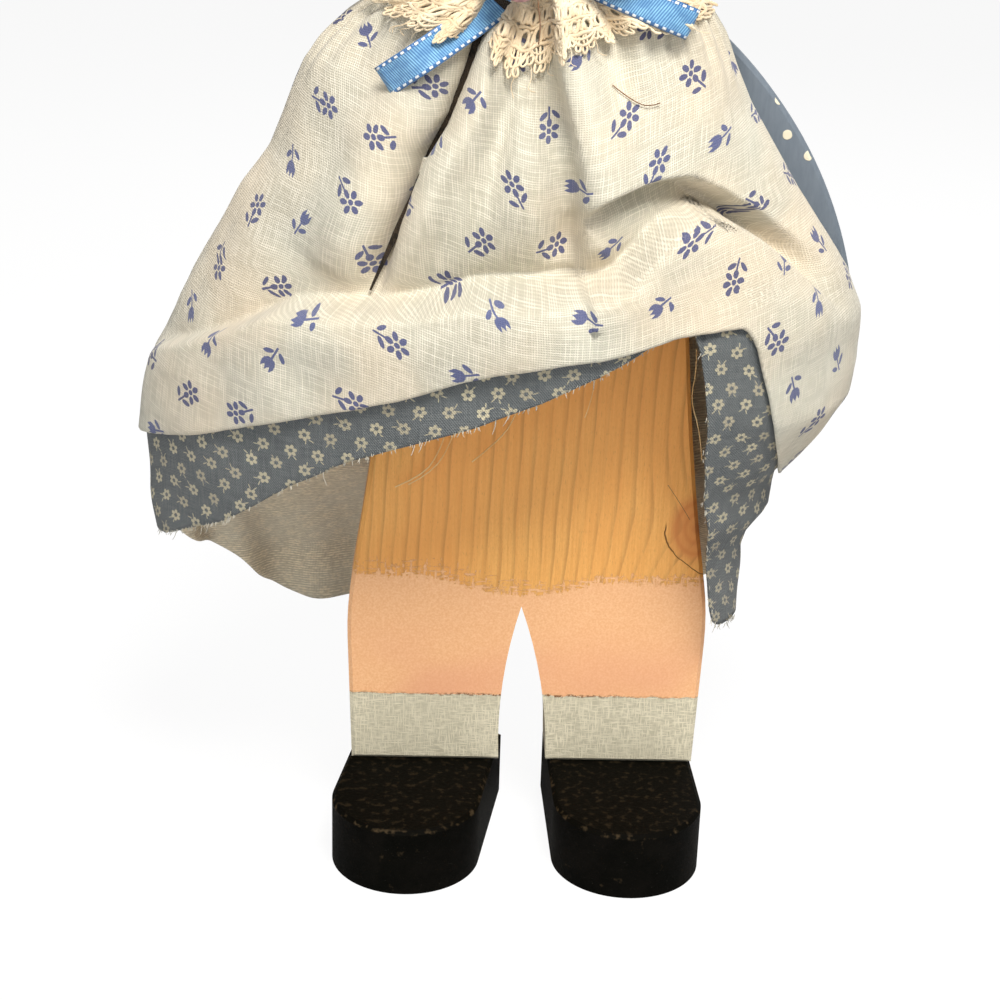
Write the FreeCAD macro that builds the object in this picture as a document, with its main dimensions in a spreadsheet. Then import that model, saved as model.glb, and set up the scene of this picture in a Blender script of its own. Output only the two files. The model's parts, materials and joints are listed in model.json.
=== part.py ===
import FreeCAD, Part
import math
import os
import re
import Sketcher

# A flat wooden doll in a gathered dress. It faces -Y and stands on the floor at z = 0.
# Its own left is at +X. All lengths are in millimetres.

Vector = FreeCAD.Vector

SIZES = [
    # Places of the doll's middle in the frame, which is under the centre of its outline
    ("middle_x", 7.6),
    ("middle_y", 2.6),
    # The board that is body, legs and head in one
    ("board_thick", 18.0),
    ("leg_half", 45.0),
    ("hip_flare", 1.5),
    ("hip_height", 62.0),
    ("hip_radius", 90.0),
    ("side_hollow_radius", 800.0),
    ("shoulder_half", 34.5),
    ("shoulder_height", 204.0),
    ("shoulder_radius", 8.0),
    ("neck_half", 10.0),
    ("neck_rise", 12.0),
    ("neck_radius", 4.0),
    ("chin_radius", 2.5),
    ("head_radius", 34.0),
    ("head_rise", 46.0),
    ("board_edge_bevel", 1.0),
    ("leg_gap", 12.4),
    ("gap_top_height", 63.0),
    ("gap_top_aside", 1.6),
    ("gap_side_radius", 135.0),
    # Shoes, each a block with a round toe that a leg stands on
    ("shoe_height", 18.0),
    ("shoe_width", 38.0),
    ("shoe_toe_reach", 46.5),
    ("shoe_heel_behind", 1.0),
    ("shoe_top_bevel", 1.0),
    ("left_toe_angle", 2.0),
    ("right_toe_angle", 9.5),
    ("shoe_dowel_radius", 3.0),
    ("shoe_dowel_length", 26.0),
    ("shoe_dowel_depth", 12.0),
    # Shoulder pegs and arms behind the board
    ("pivot_aside", 27.0),
    ("pivot_drop", 5.5),
    ("peg_radius", 3.0),
    ("peg_head_radius", 6.5),
    ("peg_head_rim", 1.6),
    ("peg_head_bevel", 2.0),
    ("peg_running_gap", 0.08),
    ("arm_thick", 9.5),
    ("arm_behind_dress", 1.8),
    ("arm_end_play", 0.4),
    ("arm_shoulder_radius", 15.5),
    ("arm_shoulder_angle", 22.0),
    ("sleeve_length", 75.0),
    ("cuff_inner", 14.0),
    ("arm_outer_radius", 112.0),
    ("sleeve_inner_radius", 260.0),
    ("hand_length", 23.0),
    ("fingertip_radius", 6.0),
    ("cuff_radius", 12.0),
    ("fingertip_inner", 10.0),
    ("arm_edge_bevel", 1.2),
    ("left_arm_angle", 36.0),
    ("right_arm_angle", 31.0),
    # Cloth: walls and the room between its layers
    ("dress_wall", 1.2),
    ("underskirt_wall", 1.2),
    ("cloth_gap", 0.4),
    ("board_gap", 0.6),
    ("cut_overrun", 2.0),
    # Dress: how far it stands off the board at its widest
    ("skirt_left_spread", 57.0),
    ("skirt_right_spread", 44.0),
    ("skirt_front_spread", 42.0),
    ("skirt_back_spread", 35.0),
    ("skirt_fold_depth", 3.4),
    ("dress_tie_rise", 5.0),
    ("dress_frill_rise", 3.0),
    ("dress_tie_ease", 4.0),
    ("waist_tie_drop", 27.0),
    ("waist_tie_width", 4.0),
    ("waist_tie_thick", 0.8),
    ("waist_ease", 4.0),
    # Lace collar, ribbon and rose
    ("collar_wall", 1.0),
    ("collar_half", 41.0),
    ("collar_drop", 20.0),
    ("collar_back_drop", 3.0),
    ("collar_top_drop", 1.6),
    ("ribbon_width", 7.0),
    ("ribbon_thick", 0.8),
    ("ribbon_band_rise", 4.4),
    ("knot_half_width", 3.4),
    ("knot_half_height", 3.7),
    ("knot_depth", 5.0),
    ("knot_bevel", 1.4),
    ("bow_loop_reach", 23.0),
    ("bow_loop_depth", 6.4),
    ("bow_loop_lift", 14.0),
    ("rose_radius", 6.0),
    ("rose_heart_radius", 3.2),
    ("rose_depth", 6.0),
    ("rose_aside", 8.6),
    ("rose_rise", 4.6),
    # Wig and curls
    ("wig_thick", 5.0),
    ("wig_back", 7.0),
    ("wig_front", 3.6),
    ("wig_bevel", 3.4),
    ("wig_gap", 0.3),
    ("face_inset", 7.0),
    ("face_drop", 6.0),
    ("wig_lower_drop", 16.0),
    ("curl_radius", 5.0),
    ("curl_end_radius", 2.6),
    ("curl_out", 10.5),
    ("curl_beside_head", 2.5),
    ("curl_apart", 8.0),
    ("curl_length", 27.0),
]

doc = FreeCAD.newDocument("wooden_doll")
sheet = doc.addObject("Spreadsheet::Sheet", "sizes")
for row, (alias, number) in enumerate(SIZES, start=1):
    sheet.set("A%d" % row, alias)
    sheet.set("B%d" % row, str(number))
    sheet.setAlias("B%d" % row, alias)
doc.recompute()

ALIASES = re.compile(r"\b(%s)\b" % "|".join(alias for alias, _ in SIZES))
SUB_PARTS = []


def in_sheet(formula):
    """The formula with each size named by its cell."""
    return ALIASES.sub(r"sizes.\1", formula)


def value(formula):
    return float(sheet.evalExpression(in_sheet(formula)))


def bind(item, place, formula):
    item.setExpression(place, in_sheet(formula))


def keep(item, label):
    item.Label = label
    SUB_PARTS.append(item)
    return item


# Sketches and bodies

def origin_plane(body, role):
    return [item for item in body.Origin.OriginFeatures if item.Role == role][0]


def new_body(name):
    return doc.addObject("PartDesign::Body", name + "_body")


def sketch_on(body, name, role, height=None):
    sketch = body.newObject("Sketcher::SketchObject", name)
    sketch.AttachmentSupport = [(origin_plane(body, role), "")]
    sketch.MapMode = "FlatFace"
    if height:
        bind(sketch, "AttachmentOffset.Base.z", height)
    return sketch


def outline(sketch, corners, smooth=None, centred=()):
    """A closed outline. A corner is (x, y), or (x, y, radius, side) where an arc leaves it.

    The arc bulges to the left of the way to the next corner where side is 1, and to the right where it
    is -1.
    A smooth corner is where its two sides touch, so its place is only near the one given, and a fixed one
    keeps its place too. The arcs in centred have their centre at the sketch's origin.
    """
    smooth = smooth or {}
    spots = [Vector(value(corner[0]), value(corner[1]), 0) for corner in corners]
    count = len(corners)
    first, last = [], []
    for here, corner in enumerate(corners):
        start, end = spots[here], spots[(here + 1) % count]
        forward = True
        if len(corner) == 2:
            sketch.addGeometry(Part.LineSegment(start, end), False)
        else:
            radius, side = value(corner[2]), corner[3]
            chord = end - start
            rise = radius - math.sqrt(max(radius ** 2 - chord.Length ** 2 / 4, 0))
            middle = (start + end) / 2 + Vector(-chord.y, chord.x, 0).normalize() * side * rise
            forward = side < 0
            ends = (start, end) if forward else (end, start)
            sketch.addGeometry(Part.Arc(ends[0], middle, ends[1]), False)
        first.append(1 if forward else 2)
        last.append(2 if forward else 1)

    def fix(kind, formula, here, point, number):
        index = sketch.addConstraint(Sketcher.Constraint(kind, -1, 1, here, point, number))
        bind(sketch, "Constraints[%d]" % index, formula)

    for here in range(count):
        after = (here + 1) % count
        kind = "Tangent" if after in smooth else "Coincident"
        sketch.addConstraint(Sketcher.Constraint(kind, here, last[here], after, first[after]))
    for here, corner in enumerate(corners):
        if smooth.get(here, True):
            fix("DistanceX", corner[0], here, first[here], spots[here].x)
            fix("DistanceY", corner[1], here, first[here], spots[here].y)
    for here, corner in enumerate(corners):
        if len(corner) == 2:
            continue
        after = (here + 1) % count
        if here in centred:
            sketch.addConstraint(Sketcher.Constraint("Coincident", here, 3, -1, 1))
        if (spots[after] - spots[here]).Length < 1.9999 * value(corner[2]):
            index = sketch.addConstraint(Sketcher.Constraint("Radius", here, value(corner[2])))
            bind(sketch, "Constraints[%d]" % index, corner[2])
        else:
            fix("DistanceY", "(%s + %s) / 2" % (corner[1], corners[after][1]), here, 3,
                (spots[here].y + spots[after].y) / 2)


def circles(sketch, places):
    """Circles at (x, y, radius)."""
    for here, (across, up, radius) in enumerate(places):
        centre = Vector(value(across), value(up), 0)
        sketch.addGeometry(Part.Circle(centre, Vector(0, 0, 1), value(radius)), False)
        for kind, formula, number in (("DistanceX", across, centre.x), ("DistanceY", up, centre.y)):
            index = sketch.addConstraint(Sketcher.Constraint(kind, -1, 1, here, 3, number))
            bind(sketch, "Constraints[%d]" % index, formula)
        index = sketch.addConstraint(Sketcher.Constraint("Radius", here, value(radius)))
        bind(sketch, "Constraints[%d]" % index, radius)


def pad(body, sketch, name, length, middle=False):
    feature = body.newObject("PartDesign::Pad", name)
    feature.Profile = sketch
    feature.SideType = "Symmetric" if middle else "One side"
    bind(feature, "Length", length)
    doc.recompute()
    return feature


def pocket(body, sketch, name, depth=None, reverse=False):
    """A cut of one depth, or right through both ways. It has to take something away."""
    before = body.Shape.Volume
    feature = body.newObject("PartDesign::Pocket", name)
    feature.Profile = sketch
    if depth:
        bind(feature, "Length", depth)
        feature.Reversed = reverse
    else:
        feature.Type = "ThroughAll"
        feature.SideType = "Symmetric"
    doc.recompute()
    if body.Shape.Volume >= before:
        raise ValueError(name + " cuts nothing")
    return feature


def round_edges(body, name, radius, chosen, kind="Fillet"):
    """Rounds the edges of the body's last feature that chosen() accepts."""
    base = body.Tip
    names = ["Edge%d" % number for number, edge in enumerate(base.Shape.Edges, start=1) if chosen(edge)]
    feature = body.newObject("PartDesign::" + kind, name)
    feature.Base = (base, names)
    bind(feature, "Radius" if kind == "Fillet" else "Size", radius)
    doc.recompute()
    if "Invalid" in feature.State:
        raise ValueError("%s: %s" % (name, feature.getStatusString()))
    return feature


def along(edge, axis):
    """True for a straight edge along the axis."""
    return isinstance(edge.Curve, Part.Line) and abs(edge.Curve.Direction.dot(axis)) > 1 - 1e-6


def upright_at(spots):
    """Accepts the edges along Y that pass through one of the (x, z) spots."""
    numbers = [(value(across), value(up)) for across, up in spots]

    def chosen(edge):
        if not along(edge, Vector(0, 1, 0)):
            return False
        at = edge.Vertexes[0].Point
        return any(math.hypot(at.x - x, at.z - z) < 1e-3 for x, z in numbers)

    return chosen


def at_both_faces(depth, axis="Y"):
    """Accepts the edges that lie in the planes at plus and minus this depth."""
    number = value(depth)

    def chosen(edge):
        low = getattr(edge.BoundBox, axis + "Min")
        high = getattr(edge.BoundBox, axis + "Max")
        return high - low < 1e-4 and abs(abs(high) - number) < 1e-3

    return chosen


def place(item, x="0", y="0", z="0", turn=None, axis=Vector(0, 0, 1)):
    """Puts a sub-part at a place in the doll's own frame, which the middle then moves."""
    item.Placement = FreeCAD.Placement(Vector(0, 0, 0), FreeCAD.Rotation(axis, 1.0 if turn else 0.0))
    bind(item, "Placement.Base.x", "middle_x + (%s)" % x)
    bind(item, "Placement.Base.y", "middle_y + (%s)" % y)
    bind(item, "Placement.Base.z", z)
    if turn:
        bind(item, "Placement.Rotation.Angle", turn)


# Wooden pieces

FOOT_ASIDE = "(leg_gap / 4 + leg_half / 2)"
SHOE_HEEL = "(board_thick / 2 + shoe_heel_behind)"
HIP_HALF = "(leg_half + hip_flare)"
NECK_HEIGHT = "(shoulder_height + neck_rise)"
HEAD_HEIGHT = "(" + NECK_HEIGHT + " + head_rise)"
TIE_HEIGHT = "(" + NECK_HEIGHT + " + dress_tie_rise)"
WAIST_HEIGHT = "(shoulder_height - waist_tie_drop)"
PIVOT_HEIGHT = "(shoulder_height - pivot_drop)"
WAIST_BACK = "(board_thick / 2 + board_gap + underskirt_wall)"
DRESS_BACK = "(" + WAIST_BACK + " + waist_tie_thick + 2 * cloth_gap + dress_wall)"
ARM_FRONT = "(" + DRESS_BACK + " + arm_behind_dress)"


def make_body_board():
    """Body, legs, neck and head, sawn from one board, with its outer edges eased."""
    body = new_body("body_board")
    half = [
        ("leg_half", "shoe_height"),
        (HIP_HALF, "hip_height"),
        ("shoulder_half", "shoulder_height"),
        ("neck_half", NECK_HEIGHT),
        ("neck_half", HEAD_HEIGHT + " - sqrt(head_radius ^ 2 - neck_half ^ 2)"),
        ("head_radius", HEAD_HEIGHT),
    ]
    mirrored = [("-" + across, up) for across, up in reversed(half)]
    corners = [corner[:2] for corner in half]
    half[1] += ("side_hollow_radius", 1)
    half[4] += ("head_radius", -1)
    half[5] += ("head_radius", -1)
    mirrored[0] += ("head_radius", -1)
    mirrored[3] += ("side_hollow_radius", 1)
    sketch = sketch_on(body, "board_outline", "XZ_Plane")
    outline(sketch, half + mirrored)
    pad(body, sketch, "board", "board_thick", middle=True)
    for name, radius, (across, up) in (
        ("hip_rounds", "hip_radius", corners[1]),
        ("shoulder_rounds", "shoulder_radius", corners[2]),
        ("neck_rounds", "neck_radius", corners[3]),
        ("chin_rounds", "chin_radius", corners[4]),
    ):
        round_edges(body, name, radius, upright_at([(across, up), ("-" + across, up)]))
    round_edges(body, "board_edges", "board_edge_bevel", at_both_faces("board_thick / 2"), "Chamfer")
    gap = sketch_on(body, "leg_gap_outline", "XZ_Plane")
    outline(gap, [
        ("-leg_gap / 2", "shoe_height - cut_overrun"),
        ("leg_gap / 2", "shoe_height - cut_overrun"),
        ("leg_gap / 2", "shoe_height", "gap_side_radius", -1),
        ("-gap_top_aside", "gap_top_height", "gap_side_radius", -1),
        ("-leg_gap / 2", "shoe_height"),
    ])
    pocket(body, gap, "leg_gap_cut")
    pegs = sketch_on(body, "peg_hole_outline", "XZ_Plane")
    circles(pegs, [(side + "pivot_aside", PIVOT_HEIGHT, "peg_radius") for side in ("", "-")])
    pocket(body, pegs, "peg_holes")
    dowels = sketch_on(body, "dowel_hole_outline", "XY_Plane", "shoe_height")
    circles(dowels, [(side + FOOT_ASIDE, "0", "shoe_dowel_radius") for side in ("", "-")])
    pocket(body, dowels, "dowel_holes", "shoe_dowel_length - shoe_dowel_depth", reverse=True)
    place(body)
    keep(body, "body_board")


def make_arm(side, mirror, turn):
    """An arm that hangs along -Z from its pivot. Its outer side bulges and its hand bends in."""
    body = new_body(side + "_arm")
    bend = 1 if mirror == "" else -1
    across = lambda formula: "%s(%s)" % (mirror, formula)
    reach = "-(sleeve_length + hand_length)"
    sketch = sketch_on(body, side + "_arm_outline", "XZ_Plane")
    outline(sketch, [
        (across("-arm_shoulder_radius"), "0", "arm_shoulder_radius", bend),
        (across("arm_shoulder_radius * cos(arm_shoulder_angle)"),
         "arm_shoulder_radius * sin(arm_shoulder_angle)", "arm_outer_radius", bend),
        (across("0"), reach + " + fingertip_radius / 3", "fingertip_radius", bend),
        (across("-fingertip_inner"), reach + " + fingertip_radius"),
        (across("-cuff_inner"), "-sleeve_length", "sleeve_inner_radius", -bend),
    ], smooth={0: False, 1: False, 2: False, 3: True}, centred=(0,))
    pad(body, sketch, side + "_arm_board", "arm_thick", middle=True)
    round_edges(body, side + "_cuff_round", "cuff_radius",
                upright_at([(across("-cuff_inner"), "-sleeve_length")]))
    round_edges(body, side + "_arm_edges", "arm_edge_bevel", at_both_faces("arm_thick / 2"), "Chamfer")
    bore = sketch_on(body, side + "_arm_bore_outline", "XZ_Plane")
    circles(bore, [("0", "0", "peg_radius + peg_running_gap")])
    pocket(body, bore, side + "_arm_bore")
    place(body, mirror + "pivot_aside", ARM_FRONT + " + arm_thick / 2", PIVOT_HEIGHT, turn, Vector(0, 1, 0))
    keep(body, side + "_arm")


def make_shoulder_peg(side, mirror):
    """A turned peg through the board, with a bevelled head that keeps the arm on."""
    body = new_body(side + "_shoulder_peg")
    head = ARM_FRONT + " + arm_thick + arm_end_play"
    sketch = sketch_on(body, side + "_peg_profile", "XY_Plane")
    outline(sketch, [
        ("0", "-board_thick / 2"),
        ("peg_radius", "-board_thick / 2"),
        ("peg_radius", head),
        ("peg_head_radius", head),
        ("peg_head_radius", head + " + peg_head_rim"),
        ("peg_head_radius - peg_head_bevel", head + " + peg_head_rim + peg_head_bevel"),
        ("0", head + " + peg_head_rim + peg_head_bevel"),
    ])
    turned = body.newObject("PartDesign::Revolution", side + "_peg_turned")
    turned.Profile = sketch
    turned.ReferenceAxis = (sketch, ["V_Axis"])
    doc.recompute()
    place(body, mirror + "pivot_aside", "0", PIVOT_HEIGHT)
    keep(body, side + "_shoulder_peg")


def make_shoe(side, mirror, turn):
    body = new_body(side + "_shoe")
    half = "shoe_width / 2"
    straight = "-(shoe_toe_reach - shoe_width / 2)"
    sketch = sketch_on(body, side + "_shoe_outline", "XY_Plane")
    outline(sketch, [
        ("-" + half, SHOE_HEEL),
        ("-" + half, straight, half, -1),
        (half, straight),
        (half, SHOE_HEEL),
    ])
    pad(body, sketch, side + "_shoe_block", "shoe_height")
    top = value("shoe_height")
    round_edges(body, side + "_shoe_edges", "shoe_top_bevel",
                lambda edge: edge.BoundBox.ZMin > top - 1e-3, "Chamfer")
    hole = sketch_on(body, side + "_shoe_hole_outline", "XY_Plane", "shoe_height")
    circles(hole, [("0", "0", "shoe_dowel_radius")])
    pocket(body, hole, side + "_shoe_hole", "shoe_dowel_depth")
    place(body, mirror + FOOT_ASIDE, "0", "0", turn)
    keep(body, side + "_shoe")


def make_shoe_dowel(side, mirror):
    dowel = doc.addObject("Part::Cylinder", side + "_shoe_dowel")
    bind(dowel, "Radius", "shoe_dowel_radius")
    bind(dowel, "Height", "shoe_dowel_length")
    place(dowel, mirror + FOOT_ASIDE, "0", "shoe_height - shoe_dowel_depth")
    keep(dowel, side + "_shoe_dowel")


# Cloth. A level is a closed line round the doll: an oval with folds that start at the same angles at
# every height, so that folds run from the neck to the hem. A garment is the wall between two skins through
# such levels.

FRONT_VALLEY_SHARES = (0, 0.11, 0.23, 0.36, 0.46, 0.57, 0.69, 0.81, 0.91, 1)
BACK_VALLEY_SHARES = (0, 0.3, 0.7, 1)
# Each fold has a valley and a crest, given as shares of its width and of its depth
FOLD_SHARES = ((0, -1), (0.3, 0.7), (0.7, 0.7))

# Height, then the spreads to left, right, front and back, the front's squareness and the folds' depth
SKIRT_LEVEL_SHARES = {
    "tie": (1.000, 0.00, 0.00, 0.00, 0.00, 0.30, 0.10),
    "shoulder": (0.968, 0.42, 0.55, 0.20, 0.00, 0.10, 0.20),
    "chest": (0.925, 0.37, 0.37, 0.27, 0.00, 0.05, 0.40),
    "waist": (0.775, 0.61, 0.64, 0.66, 0.00, 0.00, 0.90),
    "crease": (0.700, 0.76, 0.81, 0.76, 0.00, 0.00, 1.00),
    "roll": (0.645, 0.87, 0.87, 1.00, 0.00, 0.00, 1.00),
    "under_roll": (0.560, 0.98, 0.83, 0.93, 0.00, 0.00, 0.90),
    "low": (0.416, 0.96, 0.38, 0.75, 0.04, 0.00, 0.70),
    "ankle": (0.345, 0.60, 0.27, 0.66, 0.50, 0.00, 0.70),
    "hem": (0.192, 0.26, 0.21, 0.50, 1.00, 0.00, 0.80),
}
# Below this share of the back's spread the back hangs flat
FLAT_BACK_SHARE = 0.3
ROUND_FRONT = 2.0
SQUARE_BACK = 3.6
SQUARE_WAIST_FRONT = 2.8
SQUARE_WAIST_BACK = 12.0


def body_half_width(height):
    """The board's half width at a height. Between hip and shoulder its side is a shallow hollow."""
    corners = [(value(up), value(across)) for across, up in (
        ("leg_half", "shoe_height"), (HIP_HALF, "hip_height"), ("shoulder_half", "shoulder_height"),
        ("neck_half", NECK_HEIGHT))]
    for (low, wide), (high, narrow) in zip(corners, corners[1:]):
        if height <= high:
            straight = wide + (narrow - wide) * (height - low) / (high - low)
            hollow = (height - low) * (high - height) / (2 * value("side_hollow_radius"))
            return straight - (hollow if low == value("hip_height") else 0)
    return corners[-1][1]


class Level:
    """One closed line round the doll at a height."""

    def __init__(self, height, left, right, front, back, square_front, folds, back_folds=0.0,
                 square_back=SQUARE_BACK):
        self.height, self.left, self.right, self.front, self.back = height, left, right, front, back
        self.square_front, self.square_back = square_front, square_back
        self.folds, self.back_folds = folds, back_folds

    def moved(self, inset, height=None):
        """The same line, drawn in by inset all round."""
        return Level(self.height if height is None else height, self.left - inset, self.right - inset,
                     self.front - inset, self.back - inset, self.square_front, self.folds, self.back_folds,
                     self.square_back)

    def spot(self, turn, out=0.0):
        """A point at a share of the way round from the left side, first over the front."""
        angle = math.pi * (1 + turn)
        along_x, along_y = math.cos(angle), math.sin(angle)
        power = 2 / (self.square_front if turn <= 1 else self.square_back)
        wide = self.left if along_x < 0 else self.right
        deep = self.front if turn <= 1 else self.back
        x = math.copysign(abs(along_x) ** power, along_x) * wide
        y = math.copysign(abs(along_y) ** power, along_y) * deep
        normal = Vector(x / wide ** 2, y / deep ** 2, 0)
        return Vector(x, y, self.height) + normal.normalize() * out

    def corners(self):
        """The corners between each fold's two flanks and its crest."""
        spots = []
        for start, valleys, depth in ((0, FRONT_VALLEY_SHARES, self.folds),
                                      (1, BACK_VALLEY_SHARES, self.back_folds)):
            for low, high in zip(valleys, valleys[1:]):
                for across, out in FOLD_SHARES:
                    turn = start + low + (high - low) * across
                    spots.append(self.spot(turn, depth * out if turn % 1 else 0))
        return spots

    def face(self):
        return flat_face(self.corners())


def skirt_level(name):
    high, left, right, front, back, square, folds = SKIRT_LEVEL_SHARES[name]
    height = value(TIE_HEIGHT) * high
    board = body_half_width(height)
    ease = value("dress_tie_ease") if name == "tie" else 0
    return Level(
        height,
        board + ease + value("dress_wall") + left * value("skirt_left_spread"),
        board + ease + value("dress_wall") + right * value("skirt_right_spread"),
        value("board_thick") / 2 + ease + front * value("skirt_front_spread"),
        value(DRESS_BACK) + back * value("skirt_back_spread"),
        ROUND_FRONT + square * ROUND_FRONT,
        folds * value("skirt_fold_depth"),
        max(back - FLAT_BACK_SHARE, 0) * value("skirt_fold_depth"))


def flat_face(corners):
    return Part.Face(Part.makePolygon(corners + corners[:1]))


def skin(rings):
    """A solid through closed rings of corners, as a ruled loft is, but with all its faces flat."""
    faces = [flat_face(rings[0]), flat_face(rings[-1])]
    for upper, lower in zip(rings, rings[1:]):
        for a, b, c, d in zip(upper, upper[1:] + upper[:1], lower, lower[1:] + lower[:1]):
            faces += [flat_face([a, b, d]), flat_face([a, d, c])]
    shell = Part.Shell(faces)
    shell.sewShape()
    solid = Part.Solid(shell)
    if solid.Volume < 0:
        solid.reverse()
    return solid


def wall_between(levels, wall):
    """The wall of a garment: its outer lines, and the same lines drawn in by its thickness."""
    overrun = value("cut_overrun")
    inner = [level.moved(wall) for level in levels]
    first = inner[0].moved(0, inner[0].height + overrun)
    last = inner[-1].moved(0, inner[-1].height - overrun)
    outside = skin([level.corners() for level in levels])
    return outside.cut(skin([level.corners() for level in [first] + inner + [last]]))


def prism(spots, near, far):
    """The space behind a closed outline of (x, z) spots, from y = near to y = far."""
    return flat_face([Vector(x, near, z) for x, z in spots]).extrude(Vector(0, far - near, 0))


def soft(name, shape):
    item = doc.addObject("Part::Feature", name)
    item.Shape = shape.Solids[0] if len(shape.Solids) == 1 else shape
    place(item)
    keep(item, name)


# The front of the hem is lifted. Its line is given in shares of the spreads and of the tie's height.
DRESS_HEM_SHARES = (
    (-1.8, 0.515), (-0.92, 0.528), (-0.75, 0.545), (-0.47, 0.571), (-0.21, 0.606), (0.0, 0.630),
    (0.14, 0.645), (0.32, 0.664), (0.49, 0.676), (0.60, 0.560), (0.66, 0.455), (0.90, 0.435))
DRESS_BACK_SHARES = ((-1.8, 0.515), (0.90, 0.435))
UNDERSKIRT_HEM_SHARES = (
    (-1.8, 0.385), (-0.92, 0.390), (-0.82, 0.415), (-0.69, 0.445), (-0.44, 0.520), (-0.14, 0.572),
    (0.14, 0.628), (0.33, 0.650), (0.38, 0.550), (0.40, 0.480), (0.43, 0.398), (0.45, 0.290), (0.46, 0.250),
    (0.62, 0.262))
UNDERSKIRT_BACK_SHARES = (
    (-1.8, 0.330), (-0.76, 0.300), (-0.70, 0.255), (-0.62, 0.225), (-0.46, 0.202), (-0.30, 0.194),
    (0.30, 0.200), (0.46, 0.226), (0.56, 0.244), (0.58, 0.330), (0.60, 0.410), (0.90, 0.440))


def below(shares, near, far):
    """The space under a hem line."""
    wide, high = value(HIP_HALF + " + skirt_left_spread"), value(TIE_HEIGHT)
    spots = [(across * wide, up * high) for across, up in shares]
    low = value("shoe_height")
    return prism([(spots[0][0], low)] + spots + [(spots[-1][0], low)], near, far)


def make_dress():
    names = ["tie", "shoulder", "chest", "waist", "crease", "roll", "under_roll", "low"]
    levels = [skirt_level(name) for name in names]
    frill = levels[0].moved(-value("dress_wall"), value(TIE_HEIGHT + " + dress_frill_rise"))
    shape = wall_between([frill] + levels, value("dress_wall"))
    reach = value("skirt_front_spread + board_thick + cut_overrun")
    shape = shape.cut(below(DRESS_HEM_SHARES, -reach, 0))
    shape = shape.cut(below(DRESS_BACK_SHARES, 0, reach))
    for side in (-1, 1):
        hole = Part.makeCylinder(
            value("peg_radius + board_gap"), value("arm_behind_dress + board_thick"),
            Vector(side * value("pivot_aside"), 0, value(PIVOT_HEIGHT)), Vector(0, 1, 0))
        shape = shape.cut(hole)
    soft("dress", shape)


def waist_level(height=WAIST_HEIGHT):
    """The underskirt's outside at its waist."""
    wide = body_half_width(value(WAIST_HEIGHT)) + value("waist_ease + underskirt_wall")
    return Level(value(height), wide, wide, value("board_thick / 2 + 2 * waist_ease"),
                 value(WAIST_BACK), SQUARE_WAIST_FRONT, value("skirt_fold_depth") / 4,
                 square_back=SQUARE_WAIST_BACK)


def make_underskirt():
    names = ["crease", "roll", "under_roll", "low", "ankle", "hem"]
    inset = value("dress_wall + cloth_gap")
    levels = [waist_level(WAIST_HEIGHT + " + waist_tie_width"), waist_level()]
    levels += [skirt_level(name).moved(inset) for name in names]
    shape = wall_between(levels, value("underskirt_wall"))
    reach = value("skirt_front_spread + board_thick + cut_overrun")
    shape = shape.cut(below(UNDERSKIRT_HEM_SHARES, -reach, 0))
    shape = shape.cut(below(UNDERSKIRT_BACK_SHARES, 0, reach))
    soft("underskirt", shape)


def make_waist_tie():
    """A tape drawn round the underskirt's upright top."""
    inner = waist_level()
    rise = Vector(0, 0, value("waist_tie_width"))
    outer = inner.moved(-value("waist_tie_thick")).face().extrude(rise)
    soft("waist_tie", outer.cut(inner.face().extrude(rise)))


# The collar's scallops, and how far down its ends and its middle reach
COLLAR_SCALLOPS = 11
COLLAR_END_SHARE = 0.15


def make_lace_collar():
    """A collar over the dress's shoulders, deepest in front, with a scalloped edge."""
    names = ["tie", "shoulder", "chest", "waist"]
    inset = -value("cloth_gap + collar_wall")
    levels = [skirt_level(name).moved(inset) for name in names]
    shape = wall_between(levels, value("collar_wall"))
    half, top, drop = value("collar_half"), value(TIE_HEIGHT), value("collar_drop")
    low, reach = levels[-1].height - value("cut_overrun"), value("skirt_front_spread")
    marks = []
    for step in range(2 * COLLAR_SCALLOPS + 1):
        turn = (step / COLLAR_SCALLOPS - 1) * math.pi / 2
        down = COLLAR_END_SHARE + (1 - COLLAR_END_SHARE) * math.cos(turn)
        marks.append(Vector(half * math.sin(turn), -reach, top - drop * down))
    outline_edges = []
    for step in range(COLLAR_SCALLOPS):
        start, dip, end = marks[2 * step], marks[2 * step + 1], marks[2 * step + 2]
        dip = dip - Vector(0, 0, value("collar_wall"))
        outline_edges.append(Part.Arc(start, dip, end).toShape())
    corners = [marks[-1], Vector(reach + half, -reach, marks[-1].z), Vector(reach + half, -reach, low),
               Vector(-reach - half, -reach, low), Vector(-reach - half, -reach, marks[0].z), marks[0]]
    outline_edges += [Part.LineSegment(a, b).toShape() for a, b in zip(corners, corners[1:])]
    under = Part.Face(Part.Wire(outline_edges)).extrude(Vector(0, reach, 0))
    shape = shape.cut(under)
    behind = Part.makeBox(2 * (reach + half), reach, top - value("collar_back_drop") - low,
                          Vector(-reach - half, 0, low))
    above = Part.makeBox(2 * (reach + half), 2 * reach, reach,
                         Vector(-reach - half, -reach, top - value("collar_top_drop")))
    shape = shape.cut(behind).cut(above)
    soft("lace_collar", shape)


# Ribbon

def strip(centres, normals):
    """A flat ribbon through centres, thick along its normals."""
    half_wide, half_thick = value("ribbon_width") / 2, value("ribbon_thick") / 2
    sections = []
    befores, afters = centres[:1] + centres, centres[1:] + centres[-1:]
    for before, centre, after, normal in zip(befores, centres, afters, normals):
        ahead = after - before
        normal = Vector(*normal).normalize()
        across = ahead.cross(normal).normalize() * half_wide
        thick = across.cross(ahead).normalize() * half_thick
        corners = [centre + across + thick, centre - across + thick, centre - across - thick,
                   centre + across - thick]
        sections.append(Part.makePolygon(corners + corners[:1]))
    return Part.makeLoft(sections, True, True)


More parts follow.
